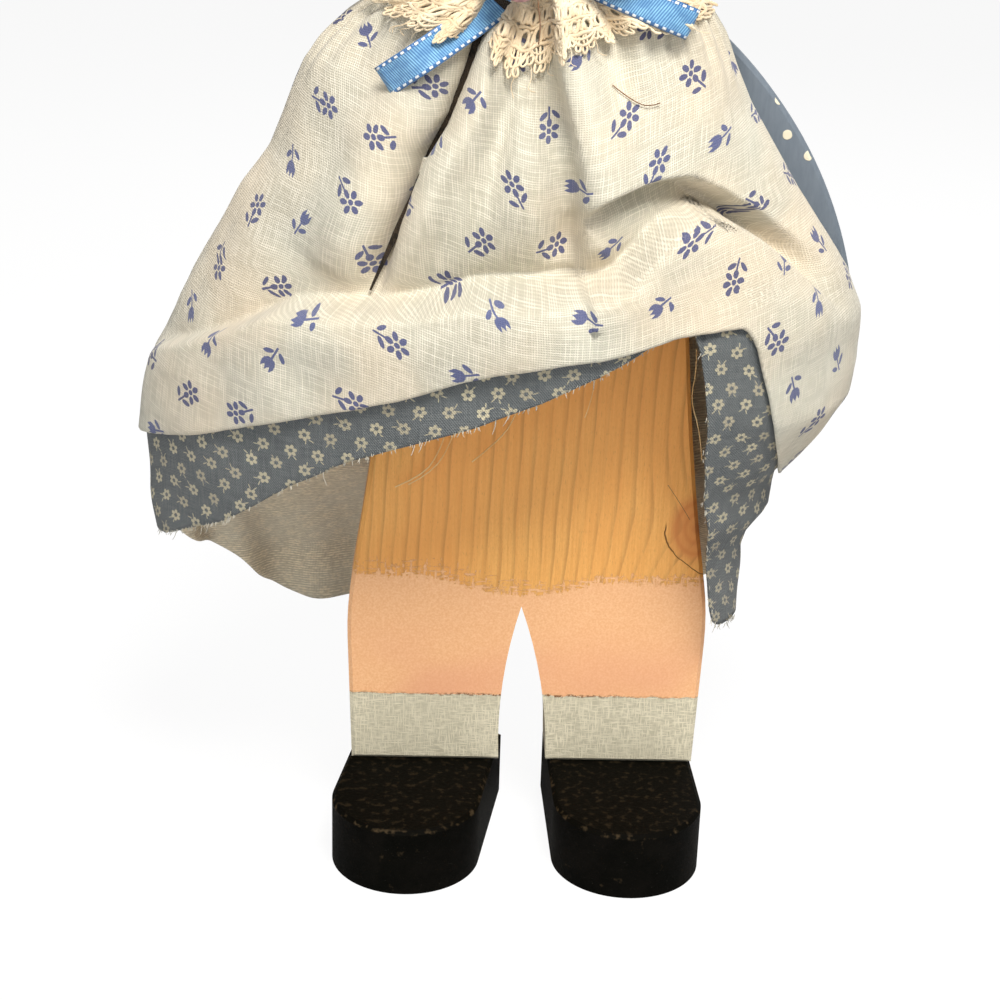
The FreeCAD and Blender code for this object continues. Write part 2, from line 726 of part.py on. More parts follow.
def front_of_dress(x, height, out):
    """The point in front of the dress at x and a height, further out by out."""
    names = ["tie", "shoulder", "chest", "waist"]
    levels = [skirt_level(name) for name in names]
    for upper, lower in zip(levels, levels[1:]):
        if height >= lower.height:
            share = (upper.height - height) / (upper.height - lower.height)
            wide = upper.left + (lower.left - upper.left) * share
            deep = upper.front + (lower.front - upper.front) * share
            return Vector(x, -deep * math.sqrt(1 - (x / wide) ** 2) - out, height)


TAIL_SHARES = {
    "right": ((-0.05, 0.999), (-0.30, 0.968), (-0.58, 0.940), (-0.82, 0.915), (-0.94, 0.900)),
    "left": ((0.05, 0.999), (0.24, 0.988), (0.42, 0.978), (0.60, 0.972)),
}


def make_neck_ribbon():
    tie = skirt_level("tie")
    clear = value("dress_wall + cloth_gap + ribbon_thick")
    rise = Vector(0, 0, value("ribbon_band_rise"))
    level = tie.moved(-clear, value(TIE_HEIGHT + " + cloth_gap"))
    band = level.face().extrude(rise)
    band = band.cut(level.moved(value("ribbon_thick")).face().extrude(rise))
    front = level.spot(0.5)
    depth, wide, high = value("knot_depth"), value("knot_half_width"), value("knot_half_height")
    middle = value(TIE_HEIGHT) + rise.z / 2
    knot = Part.makeBox(2 * wide, depth, 2 * high,
                        Vector(-wide, front.y - depth + value("ribbon_thick"), middle - high))
    knot = knot.makeChamfer(value("knot_bevel"), knot.Edges)
    pieces = [band, knot]
    for side in (-1, 1):
        pieces.append(bow_loop(side, Vector(0, front.y - depth / 2, middle)))
    out = value("cloth_gap + collar_wall + skirt_fold_depth + ribbon_thick")
    for side, shares in TAIL_SHARES.items():
        centres = [front_of_dress(across * value("collar_half"), up * value(TIE_HEIGHT), out)
                   for across, up in shares]
        centres[0].y = front.y - depth * 3 / 4
        sign = -1 if side == "right" else 1
        pieces.append(strip(centres, [(sign * 0.25, -1, 0.3)] * len(centres)))
    shape = pieces[0].multiFuse(pieces[1:]).removeSplitter()
    soft("neck_ribbon", shape)


def bow_loop(side, root):
    """A loop of ribbon that leaves the knot sideways and comes back."""
    reach, depth, thick = value("bow_loop_reach"), value("bow_loop_depth"), value("ribbon_thick")
    wide = value("ribbon_width")

    def lane(share, across):
        return Vector(side * reach * share, across, 0)

    def drop(inset):
        tip, half = reach - inset, depth / 2 - inset
        start = Vector(side * inset, 0, 0)
        edges = [
            Part.Arc(start, lane(0.4, -0.86 * half), lane(0.8, -half)),
            Part.Arc(lane(0.8, -half), Vector(side * tip, 0, 0), lane(0.8, half)),
            Part.Arc(lane(0.8, half), lane(0.4, 0.86 * half), start),
        ]
        return Part.Face(Part.Wire([edge.toShape() for edge in edges]))

    shape = drop(0).cut(drop(thick)).extrude(Vector(0, 0, wide))
    shape.translate(Vector(0, 0, -wide / 2))
    shape.rotate(Vector(0, 0, 0), Vector(0, 1, 0), -side * value("bow_loop_lift"))
    shape.translate(root)
    return shape


def make_ribbon_rose():
    """A coiled ribbon rose on the bow: its heart stands out from a flared cup."""
    body = new_body("ribbon_rose")
    sketch = sketch_on(body, "rose_profile", "XY_Plane")
    outline(sketch, [
        ("0", "0"),
        ("rose_heart_radius", "0"),
        ("rose_radius", "-rose_depth / 3"),
        ("rose_radius", "-rose_depth / 2"),
        ("rose_heart_radius", "-rose_depth * 3 / 4"),
        ("rose_heart_radius", "-rose_depth"),
        ("0", "-rose_depth"),
    ])
    turned = body.newObject("PartDesign::Revolution", "rose_turned")
    turned.Profile = sketch
    turned.ReferenceAxis = (sketch, ["V_Axis"])
    doc.recompute()
    band_front = "board_thick / 2 + dress_tie_ease + dress_wall + cloth_gap + ribbon_thick"
    place(body, "-rose_aside", "-(%s + (knot_depth + bow_loop_depth + cloth_gap) / 2)" % band_front,
          TIE_HEIGHT + " + rose_rise")
    keep(body, "ribbon_rose")


# Hair

WIG_LOWER = "(" + HEAD_HEIGHT + " - wig_lower_drop)"


def make_wig():
    """A rounded cap of hair round the head's edge and back, open at the face and the neck."""
    body = new_body("wig")
    sketch = sketch_on(body, "wig_outline", "XZ_Plane")
    circles(sketch, [("0", "0", "head_radius + wig_thick")])
    pad(body, sketch, "wig_block", "board_thick + wig_front + wig_back + 2 * wig_gap", middle=True)
    round_edges(body, "wig_bevels", "wig_bevel",
                at_both_faces("(board_thick + wig_front + wig_back + 2 * wig_gap) / 2"), "Chamfer")
    place(body, "0", "(wig_back - wig_front) / 2", HEAD_HEIGHT)
    doc.recompute()
    tools = []
    for name, radius, start, deep, height in (
        ("wig_head_room", "head_radius + wig_gap", "-(board_thick / 2 + wig_gap)",
         "board_thick + 2 * wig_gap", HEAD_HEIGHT),
        ("wig_face_room", "head_radius - face_inset", "-(board_thick + wig_front)",
         "board_thick + wig_front", HEAD_HEIGHT + " - face_drop"),
    ):
        room = doc.addObject("Part::Cylinder", name)
        bind(room, "Radius", radius)
        bind(room, "Height", deep)
        place(room, "0", start + " + " + deep, height, "90", Vector(1, 0, 0))
        tools.append(room)
    lower = doc.addObject("Part::Box", "wig_neck_room")
    bind(lower, "Length", "4 * head_radius")
    bind(lower, "Width", "4 * board_thick")
    bind(lower, "Height", "head_radius")
    place(lower, "-2 * head_radius", "-2 * board_thick", WIG_LOWER + " - head_radius")
    tools.append(lower)
    rooms = doc.addObject("Part::MultiFuse", "wig_rooms")
    rooms.Shapes = tools
    wig = doc.addObject("Part::Cut", "wig")
    wig.Base = body
    wig.Tool = rooms
    keep(wig, "wig")


# Each lock's place fore and aft, how far it swings out and how long it is, as shares
CURL_SHARES = ((-1, 0.85, 0.88), (0, 1.0, 1.0), (1, 0.8, 0.94))
# How far down a lock each ring is, how far it has swung out and how far it has tapered, as shares
LOCK_SHARES = ((0, 0, 0), (0.5, 0.35, 0.5), (1, 1, 1))
LOCK_SIDES = 8


def make_curls(side, sign):
    """Three tapered locks that hang from the hair's lower edge and swing outwards."""
    aside, top = value("head_radius + curl_beside_head"), value(WIG_LOWER)
    thick, thin = value("curl_radius"), value("curl_end_radius")
    locks = []
    for across, swing, long in CURL_SHARES:
        rings = []
        for down, swung, tapered in LOCK_SHARES:
            centre = Vector(sign * (aside + swung * swing * value("curl_out")),
                            across * value("curl_apart"), top - down * long * value("curl_length"))
            radius = thick + (thin - thick) * tapered
            turns = [2 * math.pi * corner / LOCK_SIDES for corner in range(LOCK_SIDES)]
            rings.append([centre + Vector(math.cos(turn), math.sin(turn), 0) * radius for turn in turns])
        locks.append(skin(rings))
    soft(side + "_curls", locks[0].multiFuse(locks[1:]))


make_body_board()
for side, mirror, arm_turn, toe_turn in (
    ("left", "", "-left_arm_angle", "left_toe_angle"),
    ("right", "-", "right_arm_angle", "-right_toe_angle"),
):
    make_arm(side, mirror, arm_turn)
    make_shoulder_peg(side, mirror)
    make_shoe(side, mirror, toe_turn)
    make_shoe_dowel(side, mirror)
make_dress()
make_underskirt()
make_waist_tie()
make_lace_collar()
make_neck_ribbon()
make_ribbon_rose()
make_wig()
make_curls("left", 1)
make_curls("right", -1)

doc.recompute()
for item in doc.Objects:
    if "Invalid" in item.State or "Error" in item.State:
        raise ValueError(item.Label + " failed: " + ", ".join(item.State))
for item in SUB_PARTS:
    if item.Shape.isNull() or not item.Shape.isValid():
        raise ValueError(item.Label + " has no valid shape")
os.makedirs("parts", exist_ok=True)
for item in SUB_PARTS:
    item.Shape.exportStep("parts/%s.step" % item.Label)
    box = item.Shape.BoundBox
    print("%-20s solids %d volume %9.1f  x %.1f %.1f  y %.1f %.1f  z %.1f %.1f" % (
        item.Label, len(item.Shape.Solids), item.Shape.Volume, box.XMin, box.XMax, box.YMin, box.YMax,
        box.ZMin, box.ZMax))
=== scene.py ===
import json
import math
import random

import bmesh
import bpy
import numpy as np
from mathutils import Matrix, Vector, noise


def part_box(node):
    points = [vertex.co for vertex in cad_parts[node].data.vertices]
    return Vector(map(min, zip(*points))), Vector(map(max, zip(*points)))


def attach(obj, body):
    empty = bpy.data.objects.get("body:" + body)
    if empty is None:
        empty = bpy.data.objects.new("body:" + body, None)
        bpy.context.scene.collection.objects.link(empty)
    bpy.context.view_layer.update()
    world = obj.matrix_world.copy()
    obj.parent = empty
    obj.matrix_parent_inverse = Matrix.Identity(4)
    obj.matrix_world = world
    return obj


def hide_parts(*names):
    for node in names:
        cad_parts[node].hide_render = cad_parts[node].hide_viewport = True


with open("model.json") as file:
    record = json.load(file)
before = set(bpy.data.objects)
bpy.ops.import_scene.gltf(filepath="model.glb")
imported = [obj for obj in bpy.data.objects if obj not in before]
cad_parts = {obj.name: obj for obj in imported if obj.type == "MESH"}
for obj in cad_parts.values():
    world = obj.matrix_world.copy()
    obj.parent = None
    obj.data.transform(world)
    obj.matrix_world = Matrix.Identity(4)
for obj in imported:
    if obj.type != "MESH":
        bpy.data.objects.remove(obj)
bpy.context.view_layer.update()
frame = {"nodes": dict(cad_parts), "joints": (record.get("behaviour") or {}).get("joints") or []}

# A wooden doll in a gathered dress, dressed over its packed wooden parts.
# Places are written in millimetres from the board's middle line on the floor. The doll faces -Y.

MM = 0.001
board_low, board_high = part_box("body_board")
MIDDLE = Vector(((board_low.x + board_high.x) / 2, (board_low.y + board_high.y) / 2, 0))
NODES = frame["nodes"]


def at(x, y, z):
    return MIDDLE + Vector((x, y, z)) * MM


def rgb(red, green, blue):
    """A colour as seen on a screen, 0 to 255, made linear."""
    linear = [((c / 255 + 0.055) / 1.055) ** 2.4 if c > 10 else c / 255 / 12.92 for c in (red, green, blue)]
    return (*linear, 1)


# Finishes

class Socket:
    """A socket in a finish, with the sums that are written on it."""

    def __init__(self, socket):
        self.socket = socket

    def node(self, kind, inputs=(), output=0, stops=None, **settings):
        """Another node beside this one. Inputs are given in order or by name."""
        tree = self.socket.id_data
        made = tree.nodes.new(kind)
        for name, setting in settings.items():
            setattr(made, name, setting)
        if stops:
            ramp = made.color_ramp
            for element, (place, colour) in zip(
                    list(ramp.elements) + [ramp.elements.new(0.5) for _ in stops[2:]], stops):
                element.position, element.color = place, colour
        for key, given in (inputs.items() if isinstance(inputs, dict) else enumerate(inputs)):
            if isinstance(given, Socket):
                tree.links.new(given.socket, made.inputs[key])
            else:
                made.inputs[key].default_value = given
        return Socket(made.outputs[output])

    def math(self, operation, *others):
        return self.node("ShaderNodeMath", (self, *others), operation=operation)

    def __add__(self, other):
        return self.math("ADD", other)

    def __sub__(self, other):
        return self.math("SUBTRACT", other)

    def __rsub__(self, other):
        return self.math("MULTIPLY_ADD", -1.0, other)

    def __mul__(self, other):
        return self.math("MULTIPLY", other)

    def __truediv__(self, other):
        return self.math("DIVIDE", other)

    def __pow__(self, other):
        return self.math("POWER", other)

    def __lt__(self, other):
        return self.math("LESS_THAN", other)

    def __gt__(self, other):
        return self.math("GREATER_THAN", other)

    def __abs__(self):
        return self.math("ABSOLUTE")

    __radd__ = __add__
    __rmul__ = __mul__

    def wave(self, pitch):
        """Swings from 0 to 1 and back over each pitch."""
        return (self * (2 * math.pi / pitch)).math("SINE") * 0.5 + 0.5

    def ease(self, low, high):
        """0 below low, 1 above high, and smooth between."""
        return self.node("ShaderNodeMapRange", {"Value": self, "From Min": low, "From Max": high},
                         interpolation_type="SMOOTHSTEP")

    def noise(self, scale, detail=2.0, roughness=0.5):
        return self.node("ShaderNodeTexNoise", {"Vector": self, "Scale": scale, "Detail": detail,
                                                "Roughness": roughness})

    def tint(self, first, second, how="MIX"):
        """The first colour where this is 0 and the second where it is 1."""
        return self.node("ShaderNodeMix", {0: self, 6: first, 7: second}, output=2, data_type="RGBA",
                         blend_type=how)


def vector(x, y, z=0.0):
    source = [part for part in (x, y, z) if isinstance(part, Socket)][0]
    return source.node("ShaderNodeCombineXYZ", (x, y, z))


class Finish:
    """A material with one shader, whose places are read in millimetres."""

    def __init__(self, name, flat=False, **constants):
        self.material = bpy.data.materials.new(name)
        self.material.use_nodes = True
        tree = self.material.node_tree
        self.shader = tree.nodes["Principled BSDF"]
        for key, number in constants.items():
            self.shader.inputs[key.replace("_", " ")].default_value = number
        source = tree.nodes.new("ShaderNodeTexCoord")
        if flat:
            placed = Socket(source.outputs["UV"])
            self.place = placed.node("ShaderNodeVectorMath", {0: placed, 1: (1000,) * 3},
                                     operation="MULTIPLY")
        else:
            placed = Socket(source.outputs["Object"])
            moved = placed.node("ShaderNodeVectorMath", {0: placed, 1: MIDDLE}, operation="SUBTRACT")
            self.place = moved.node("ShaderNodeVectorMath", {0: moved, 1: (1000,) * 3}, operation="MULTIPLY")
        self.x, self.y, self.z = [self.place.node("ShaderNodeSeparateXYZ", (self.place,), output=n)
                                  for n in range(3)]

    def stretched(self, x, y, z):
        """The place, drawn out along an axis whose number is small."""
        return self.place.node("ShaderNodeVectorMath", {0: self.place, 1: (x, y, z)}, operation="MULTIPLY")

    def set(self, height, depth, **inputs):
        """Links the shader's inputs, and a height whose bumps are this deep in millimetres."""
        tree = self.material.node_tree
        for key, given in inputs.items():
            tree.links.new(given.socket, self.shader.inputs[key.replace("_", " ")])
        bump = height.node("ShaderNodeBump", {"Height": height, "Distance": depth * MM, "Strength": 1.0})
        tree.links.new(bump.socket, self.shader.inputs["Normal"])
        return self.material


def petals(x, y, radius, long, wide, count):
    """How far inside a ring of oval petals a place is: above 0 is inside."""
    away = (x * x + y * y) ** 0.5
    turn = y.math("ARCTAN2", x) * (count / (2 * math.pi)) + 10
    swing = (turn.math("FRACT") - 0.5) * (2 * math.pi / count)
    along = (away * swing.math("COSINE") - radius) / long
    across = away * swing.math("SINE") / wide
    return 1 - (along * along + across * across)


def oval(x, y, at_x, at_y, long, wide, turn=0.0):
    """How far inside an oval a place is: above 0 is inside."""
    c, s = math.cos(turn), math.sin(turn)
    along = ((x - at_x) * c + (y - at_y) * s) / long
    across = ((y - at_y) * c - (x - at_x) * s) / wide
    return 1 - (along * along + across * across)


def scattered(x, y, pitch_x, pitch_y, jitter):
    """Places of a motif on cloth, each in its own cell, turned and moved by chance: x, y and a chance."""
    row = (y / pitch_y).math("FLOOR")
    shifted = x / pitch_x + row * 0.5
    column = shifted.math("FLOOR")
    cell = vector(column, row, 3.7)
    chance = cell.node("ShaderNodeTexWhiteNoise", {"Vector": cell}, noise_dimensions="3D")
    colour = cell.node("ShaderNodeTexWhiteNoise", {"Vector": cell}, output=1, noise_dimensions="3D")
    one, two = [colour.node("ShaderNodeSeparateColor", (colour,), output=n) for n in (0, 1)]
    local_x = (shifted - column - 0.5) * pitch_x + (one - 0.5) * jitter
    local_y = ((y / pitch_y) - row - 0.5) * pitch_y + (two - 0.5) * jitter
    turn = one * 37.7
    c, s = turn.math("COSINE"), turn.math("SINE")
    return local_x * c + local_y * s, local_y * c - local_x * s, chance


def woven(finish, pitch, loose):
    """The threads of a plain weave: their height, and how light each is."""
    wander = finish.place.noise(0.08, 1.0)
    across, down = (finish.x + wander) / pitch, (finish.y + wander) / pitch
    warp, weft = across.wave(1.0), down.wave(1.0)
    slub_warp = vector(across.math("FLOOR"), down * 0.06).noise(1.0, 1.0)
    slub_weft = vector(across * 0.06, down.math("FLOOR"), 5.0).noise(1.0, 1.0)
    height = (warp * (0.6 + slub_warp * loose)).math("MAXIMUM", weft * (0.6 + slub_weft * loose))
    light = warp * slub_warp.ease(0.3, 0.7) + weft * slub_weft.ease(0.3, 0.7)
    return height, light * 0.8


def make_print_cotton():
    """Loose cream muslin, printed with small blue tulips and flower sprigs."""
    finish = Finish("print_cotton", flat=True, Roughness=0.92, Sheen_Weight=0.2, Specular_IOR_Level=0.15)
    height, light = woven(finish, 0.56, 0.8)
    bleed = finish.place.noise(1.6, 3.0) * 0.5 - 0.25
    x, y, chance = scattered(finish.x * 1.1, finish.y * 1.1, 19.5, 17.0, 4.5)
    stem = ((0.32 - abs(x + y * 0.08)) * 3.5).math("MINIMUM", 2.6 - abs(y + 1.7))
    leaves = oval(x, y, 1.75, -1.5, 1.6, 0.72, 0.75).math("MAXIMUM", oval(x, y, -1.7, -2.4, 1.5, 0.7, 2.5))
    flower = petals(x, y - 2.1, 2.1, 1.2, 0.82, 6)
    cup = oval(x, y, 0.0, 1.9, 1.95, 2.5)
    points = 2.2 + abs((x / 1.25).math("FRACT") - 0.5) * 3.4 - y
    tulip = cup.math("MINIMUM", points)
    head = chance.node("ShaderNodeMix", {0: chance > 0.5, 2: flower, 3: tulip}, data_type="FLOAT")
    head = head.math("MAXIMUM", oval(x, y, 0.0, 2.1, 0.75, 0.8))
    motif = head.math("MAXIMUM", leaves).math("MAXIMUM", stem)
    worn = finish.place.noise(5.0, 1.0) * 0.3 + 0.74
    ink = (motif + bleed).ease(0.02, 0.3) * worn
    ground = light.ease(0.0, 1.1).tint(rgb(182, 177, 160), rgb(221, 215, 199))
    cloudy = finish.place.noise(0.03, 2.0).ease(0.35, 0.7) * 0.4
    ground = cloudy.tint(ground, rgb(228, 206, 176))
    cool = finish.place.noise(0.021, 1.0).ease(0.5, 0.75) * 0.4
    ground = cool.tint(ground, rgb(208, 212, 200))
    blue = chance.tint(rgb(52, 58, 104), rgb(70, 82, 132))
    return finish.set(height, 0.1, Base_Color=ink.tint(ground, blue))


def make_calico(name, wrong_side=False, painted_shade=False):
    """Slate calico with rings of cream petals on sprigs, which only shadow through on its wrong side.

    The one with painted shade is darker: its dark ground and petals are painted shade, for the strip at the
    bottom of the deepest fold.
    """
    finish = Finish(name, flat=True, Roughness=0.95, Sheen_Weight=0.15, Specular_IOR_Level=0.1)
    height, light = woven(finish, 0.42, 0.5)
    twill = (finish.x + finish.y * 0.8).wave(0.62)
    x, y, chance = scattered(finish.x, finish.y, 6.9, 4.7, 0.9)
    soft = 0.7 if wrong_side else 0.22
    flower = petals(x, y, 1.05, 0.62, 0.5, 6).math("MAXIMUM", 0.5 - abs((x * x + y * y) ** 0.5 - 0.85) * 1.6)
    sprig = oval(x, y, 2.1, 0.55, 0.8, 0.16, 0.5).math("MAXIMUM", oval(x, y, 1.9, -0.95, 0.75, 0.15, -0.7))
    flecks = finish.place.noise(3.4, 3.0, 0.7) * 0.9 - 0.5
    bloom = (flower.math("MAXIMUM", sprig) + flecks).ease(-soft, soft * 2)
    if wrong_side:
        threads = finish.stretched(0.25, 1, 1).noise(2.6, 2.0).ease(0.3, 0.7)
        lines = finish.y.wave(0.9) * threads
        ground = lines.tint(rgb(184, 172, 148), rgb(252, 240, 212))
        cloudy = finish.place.noise(0.06, 2.0).ease(0.3, 0.7)
        ground = (cloudy * 0.4).tint(ground, rgb(190, 186, 172))
        return finish.set(lines + height, 0.12, Base_Color=(bloom * 0.5).tint(ground, rgb(236, 220, 190)))
    # Painted shade: a dark ground and dark petals, as the calico looks deep in the fold's shadow
    if painted_shade:
        ground = light.tint(rgb(38, 33, 26), rgb(72, 60, 46))
        petal = rgb(30, 26, 20)
    else:
        ground = (light * 0.5 + twill * 0.5).tint(rgb(70, 76, 80), rgb(128, 131, 130))
        petal = chance.tint(rgb(206, 196, 166), rgb(180, 170, 146))
    return finish.set(height + twill, 0.1, Base_Color=(bloom * 0.85).tint(ground, petal))


SOCK_TOP = 37.4


def make_painted_pine():
    """The board: bare pine, with painted legs, socks, neck and face."""
    finish = Finish("painted_pine")
    x, y, z = finish.x, finish.y, finish.z
    # Growth lines fan out as they rise, wander a little and bend round the knot
    knot_x, knot_z = x - 42.0, z - 85.5
    knot_away = (knot_x * knot_x + knot_z * knot_z * 0.55) ** 0.5
    sway = finish.stretched(0.03, 0.03, 0.02).noise(1.0, 2.0) * 5
    bend = (knot_away * -0.08).math("EXPONENT") * 12
    grain = (x + 60 + y * 0.3) / (z * 0.0013 + 0.9) + sway - bend
    band = (grain / 3.25).math("FRACT")
    late = band.ease(0.55, 0.88) * (0.4 + band * 0.6) * (1 - band.ease(0.9, 0.99))
    fibre = finish.stretched(2.4, 2.4, 0.06).noise(1.0, 3.0, 0.6)
    specks = finish.stretched(3.5, 3.5, 1.1).noise(1.0, 3.0, 0.7)
    pores = finish.stretched(5.0, 5.0, 0.6).noise(1.0, 1.0).ease(0.63, 0.72)
    patch = finish.stretched(0.03, 0.03, 0.02).noise(1.0, 2.0)
    streaky = finish.stretched(0.5, 0.5, 0.02).noise(1.0, 2.0).ease(0.3, 0.7)
    wood = fibre.ease(0.25, 0.75).tint(rgb(234, 167, 86), rgb(246, 185, 102))
    wood = (specks.ease(0.35, 0.7) * 0.35).tint(wood, rgb(216, 148, 76))
    wood = (patch.ease(0.4, 0.65) * 0.5).tint(wood, rgb(238, 160, 80))
    wood = (late * (0.08 + streaky * 0.34)).tint(wood, rgb(150, 98, 48))
    wood = (pores * 0.3).tint(wood, rgb(160, 108, 56))
    heart = 1 - knot_away.ease(5.0, 8.0)
    ring = knot_away.wave(2.3) ** 2 * heart
    wood = (ring * 0.2 + heart * 0.6).tint(wood, rgb(206, 124, 62))
    edge_x, edge_z = x - 45.0, z - 86.0
    burn = 1 - ((edge_x * edge_x + edge_z * edge_z) ** 0.5).ease(0.8, 4.8)
    wood = (burn * 0.6).tint(wood, rgb(128, 70, 48))
    bow = z - 84.5
    crack_bow = abs(x - 34.2 - bow * bow * 0.075 * (z < 84.5) - finish.place.noise(0.35) * 1.4 + 0.7)
    crack = (1 - crack_bow.ease(0.03, 0.27)) * (z > 72.4) * z.ease(87.5, 85.0)
    wood = (crack * 0.8).tint(wood, rgb(104, 56, 26))

    # Flesh paint on the legs ends in dry brush strokes, and the socks start below it
    brush = finish.stretched(0.8, 0.8, 0.3).noise(1.0, 4.0, 0.75)
    side = x.ease(-30.0, -4.0)
    top = 71.0 - side * 4.5 + x.ease(2.0, 22.0) * 3.4 + (brush - 0.5) * 7
    dabs = finish.stretched(1.5, 1.5, 0.3).noise(1.0, 3.0, 0.7)
    sweeps = finish.stretched(0.22, 0.22, 1.5).noise(1.0, 3.0, 0.7)
    dry = (dabs.math("MAXIMUM", sweeps) + (top - z) * 0.022).ease(0.5, 0.54)
    reach = top + (5.6 - x.ease(-12.0, 10.0) * 3.2)
    flesh_leg = (z < top).math("MAXIMUM", (z < reach) * dry)
    canvas = finish.place.noise(1.8, 3.0, 0.6)
    # Painted shade: soft patches that make the flesh darker and pinker towards the bottom of the legs, and
    # dim the socks
    painted_shade = finish.stretched(0.03, 0.03, 0.05).noise(1.0, 1.0).ease(0.35, 0.65)
    low = 1 - z.ease(36.0, 62.0)
    flesh = canvas.ease(0.3, 0.75).tint(rgb(235, 174, 122), rgb(246, 194, 144))
    flesh = (low * painted_shade * 0.55).tint(flesh, rgb(226, 156, 122))
    speck = finish.stretched(1.6, 1.6, 3.2).noise(1.0, 2.0, 0.6).ease(0.7, 0.73)
    speck = speck * finish.place.noise(0.12).ease(0.5, 0.6)
    flesh = (speck * 0.35).tint(flesh, rgb(190, 128, 78))
    sock_line = SOCK_TOP + (finish.stretched(0.3, 0.3, 0.3).noise(1.0) - 0.5) * 1.4
    chip = finish.stretched(0.9, 0.9, 1.6).noise(1.0, 3.0, 0.7).ease(0.44, 0.58)
    inner = 1 - abs(x).ease(5.0, 34.0)
    seam = (1 - abs(z - sock_line).ease(0.12, 0.6)) * (chip * (0.4 + inner * 0.8)).math("MINIMUM", 1.0)
    cloth_x = finish.stretched(3.2, 3.2, 0.35).noise(1.0, 2.0)
    cloth_z = finish.stretched(0.35, 0.35, 3.2).noise(1.0, 2.0)
    weave = cloth_x.math("MAXIMUM", cloth_z)
    sock = weave.ease(0.42, 0.68).tint(rgb(186, 178, 153), rgb(226, 217, 191))
    # Painted shade in patches on the socks
    sock = (painted_shade * 0.3).tint(sock, rgb(200, 192, 166))
    painted = (z < sock_line).tint(flesh, sock)
    painted = seam.tint(painted, rgb(120, 76, 34))
    body = flesh_leg.tint(wood, painted)

    # Neck and head
    face = flesh
    cheek_x, cheek_z = abs(x) - 15.5, z - 250.5
    cheek = (1 - ((cheek_x * cheek_x + cheek_z * cheek_z) ** 0.5).ease(1.5, 7.5)) * (y < 0)
    face = (cheek * 0.5).tint(face, rgb(214, 92, 80))
    eye = oval(abs(x), z, 10.5, 260.5, 2.1, 2.9)
    glint = oval(abs(x), z, 11.1, 261.6, 0.6, 0.6)
    front = y < -8.5
    face = (eye.ease(-0.05, 0.1) * front).tint(face, rgb(38, 30, 28))
    face = (glint.ease(-0.05, 0.1) * front).tint(face, rgb(240, 236, 226))
    brow = (1 - abs(z - 266.6 + (abs(x) - 10.5) * (abs(x) - 10.5) * 0.09).ease(0.25, 0.6)) * (
        abs(abs(x) - 10.5) < 3.4)
    smile = (1 - abs(z - 244.6 - x * x * 0.05).ease(0.3, 0.75)) * (abs(x) < 5.6)
    nose = (1 - abs(z - 252.3 - x * x * 0.25).ease(0.2, 0.5)) * (abs(x) < 1.5)
    face = (brow * 0.8 * front).tint(face, rgb(112, 70, 44))
    face = ((smile.math("MAXIMUM", nose * 0.6)) * 0.85 * front).tint(face, rgb(176, 66, 60))
    body = (z > 206.0 + (brush - 0.5) * 5).tint(body, face)

    height = fibre * 0.25 - late * 0.08 - crack * 2.5 + flesh_leg * (0.5 + canvas * 0.5)
    height = height + weave * (z < SOCK_TOP)
    return finish.set(height, 0.14, Base_Color=body, Roughness=flesh_leg * -0.06 + 0.66)


def make_shoe_paint():
    """Matte black paint, scuffed to brown and grey."""
    finish = Finish("shoe_paint", Specular_IOR_Level=0.04)
    wide = finish.place.noise(0.09, 4.0, 0.65)
    fine = finish.stretched(0.9, 0.9, 2.4).noise(1.0, 4.0, 0.7)
    scratch = finish.stretched(0.5, 0.5, 2.6).noise(1.3, 5.0, 0.75).ease(0.66, 0.72)
    paint = wide.ease(0.35, 0.68).tint(rgb(4, 4, 2), rgb(12, 10, 7))
    # The top face is a flat black a little darker than the mottled sides: painted shade
    paint = (finish.z > 16.9).tint(paint, rgb(7, 6, 3))
    worn = finish.place.noise(0.3, 5.0, 0.7).ease(0.63, 0.72)
    rim = (1 - abs(finish.z - 17.4).ease(0.1, 0.9)) * finish.place.noise(0.5, 3.0).ease(0.52, 0.7)
    paint = (worn * 0.16 + rim * 0.4).tint(paint, rgb(96, 80, 58))
    paint = (scratch * 0.3 * (finish.z < 14.0)).tint(paint, rgb(150, 146, 136))
    rough = 0.55 + fine * 0.3
    return finish.set(fine + wide, 0.12, Base_Color=paint, Roughness=rough)


# How far each arm hangs out from straight down, in degrees
ARM_OUT = {"left": 36.0, "right": 31.0}
# From an arm's middle to just inside its faces, and from its peg to where the sleeve ends
ARM_FACE, SLEEVE_END = 4.1, 75.5


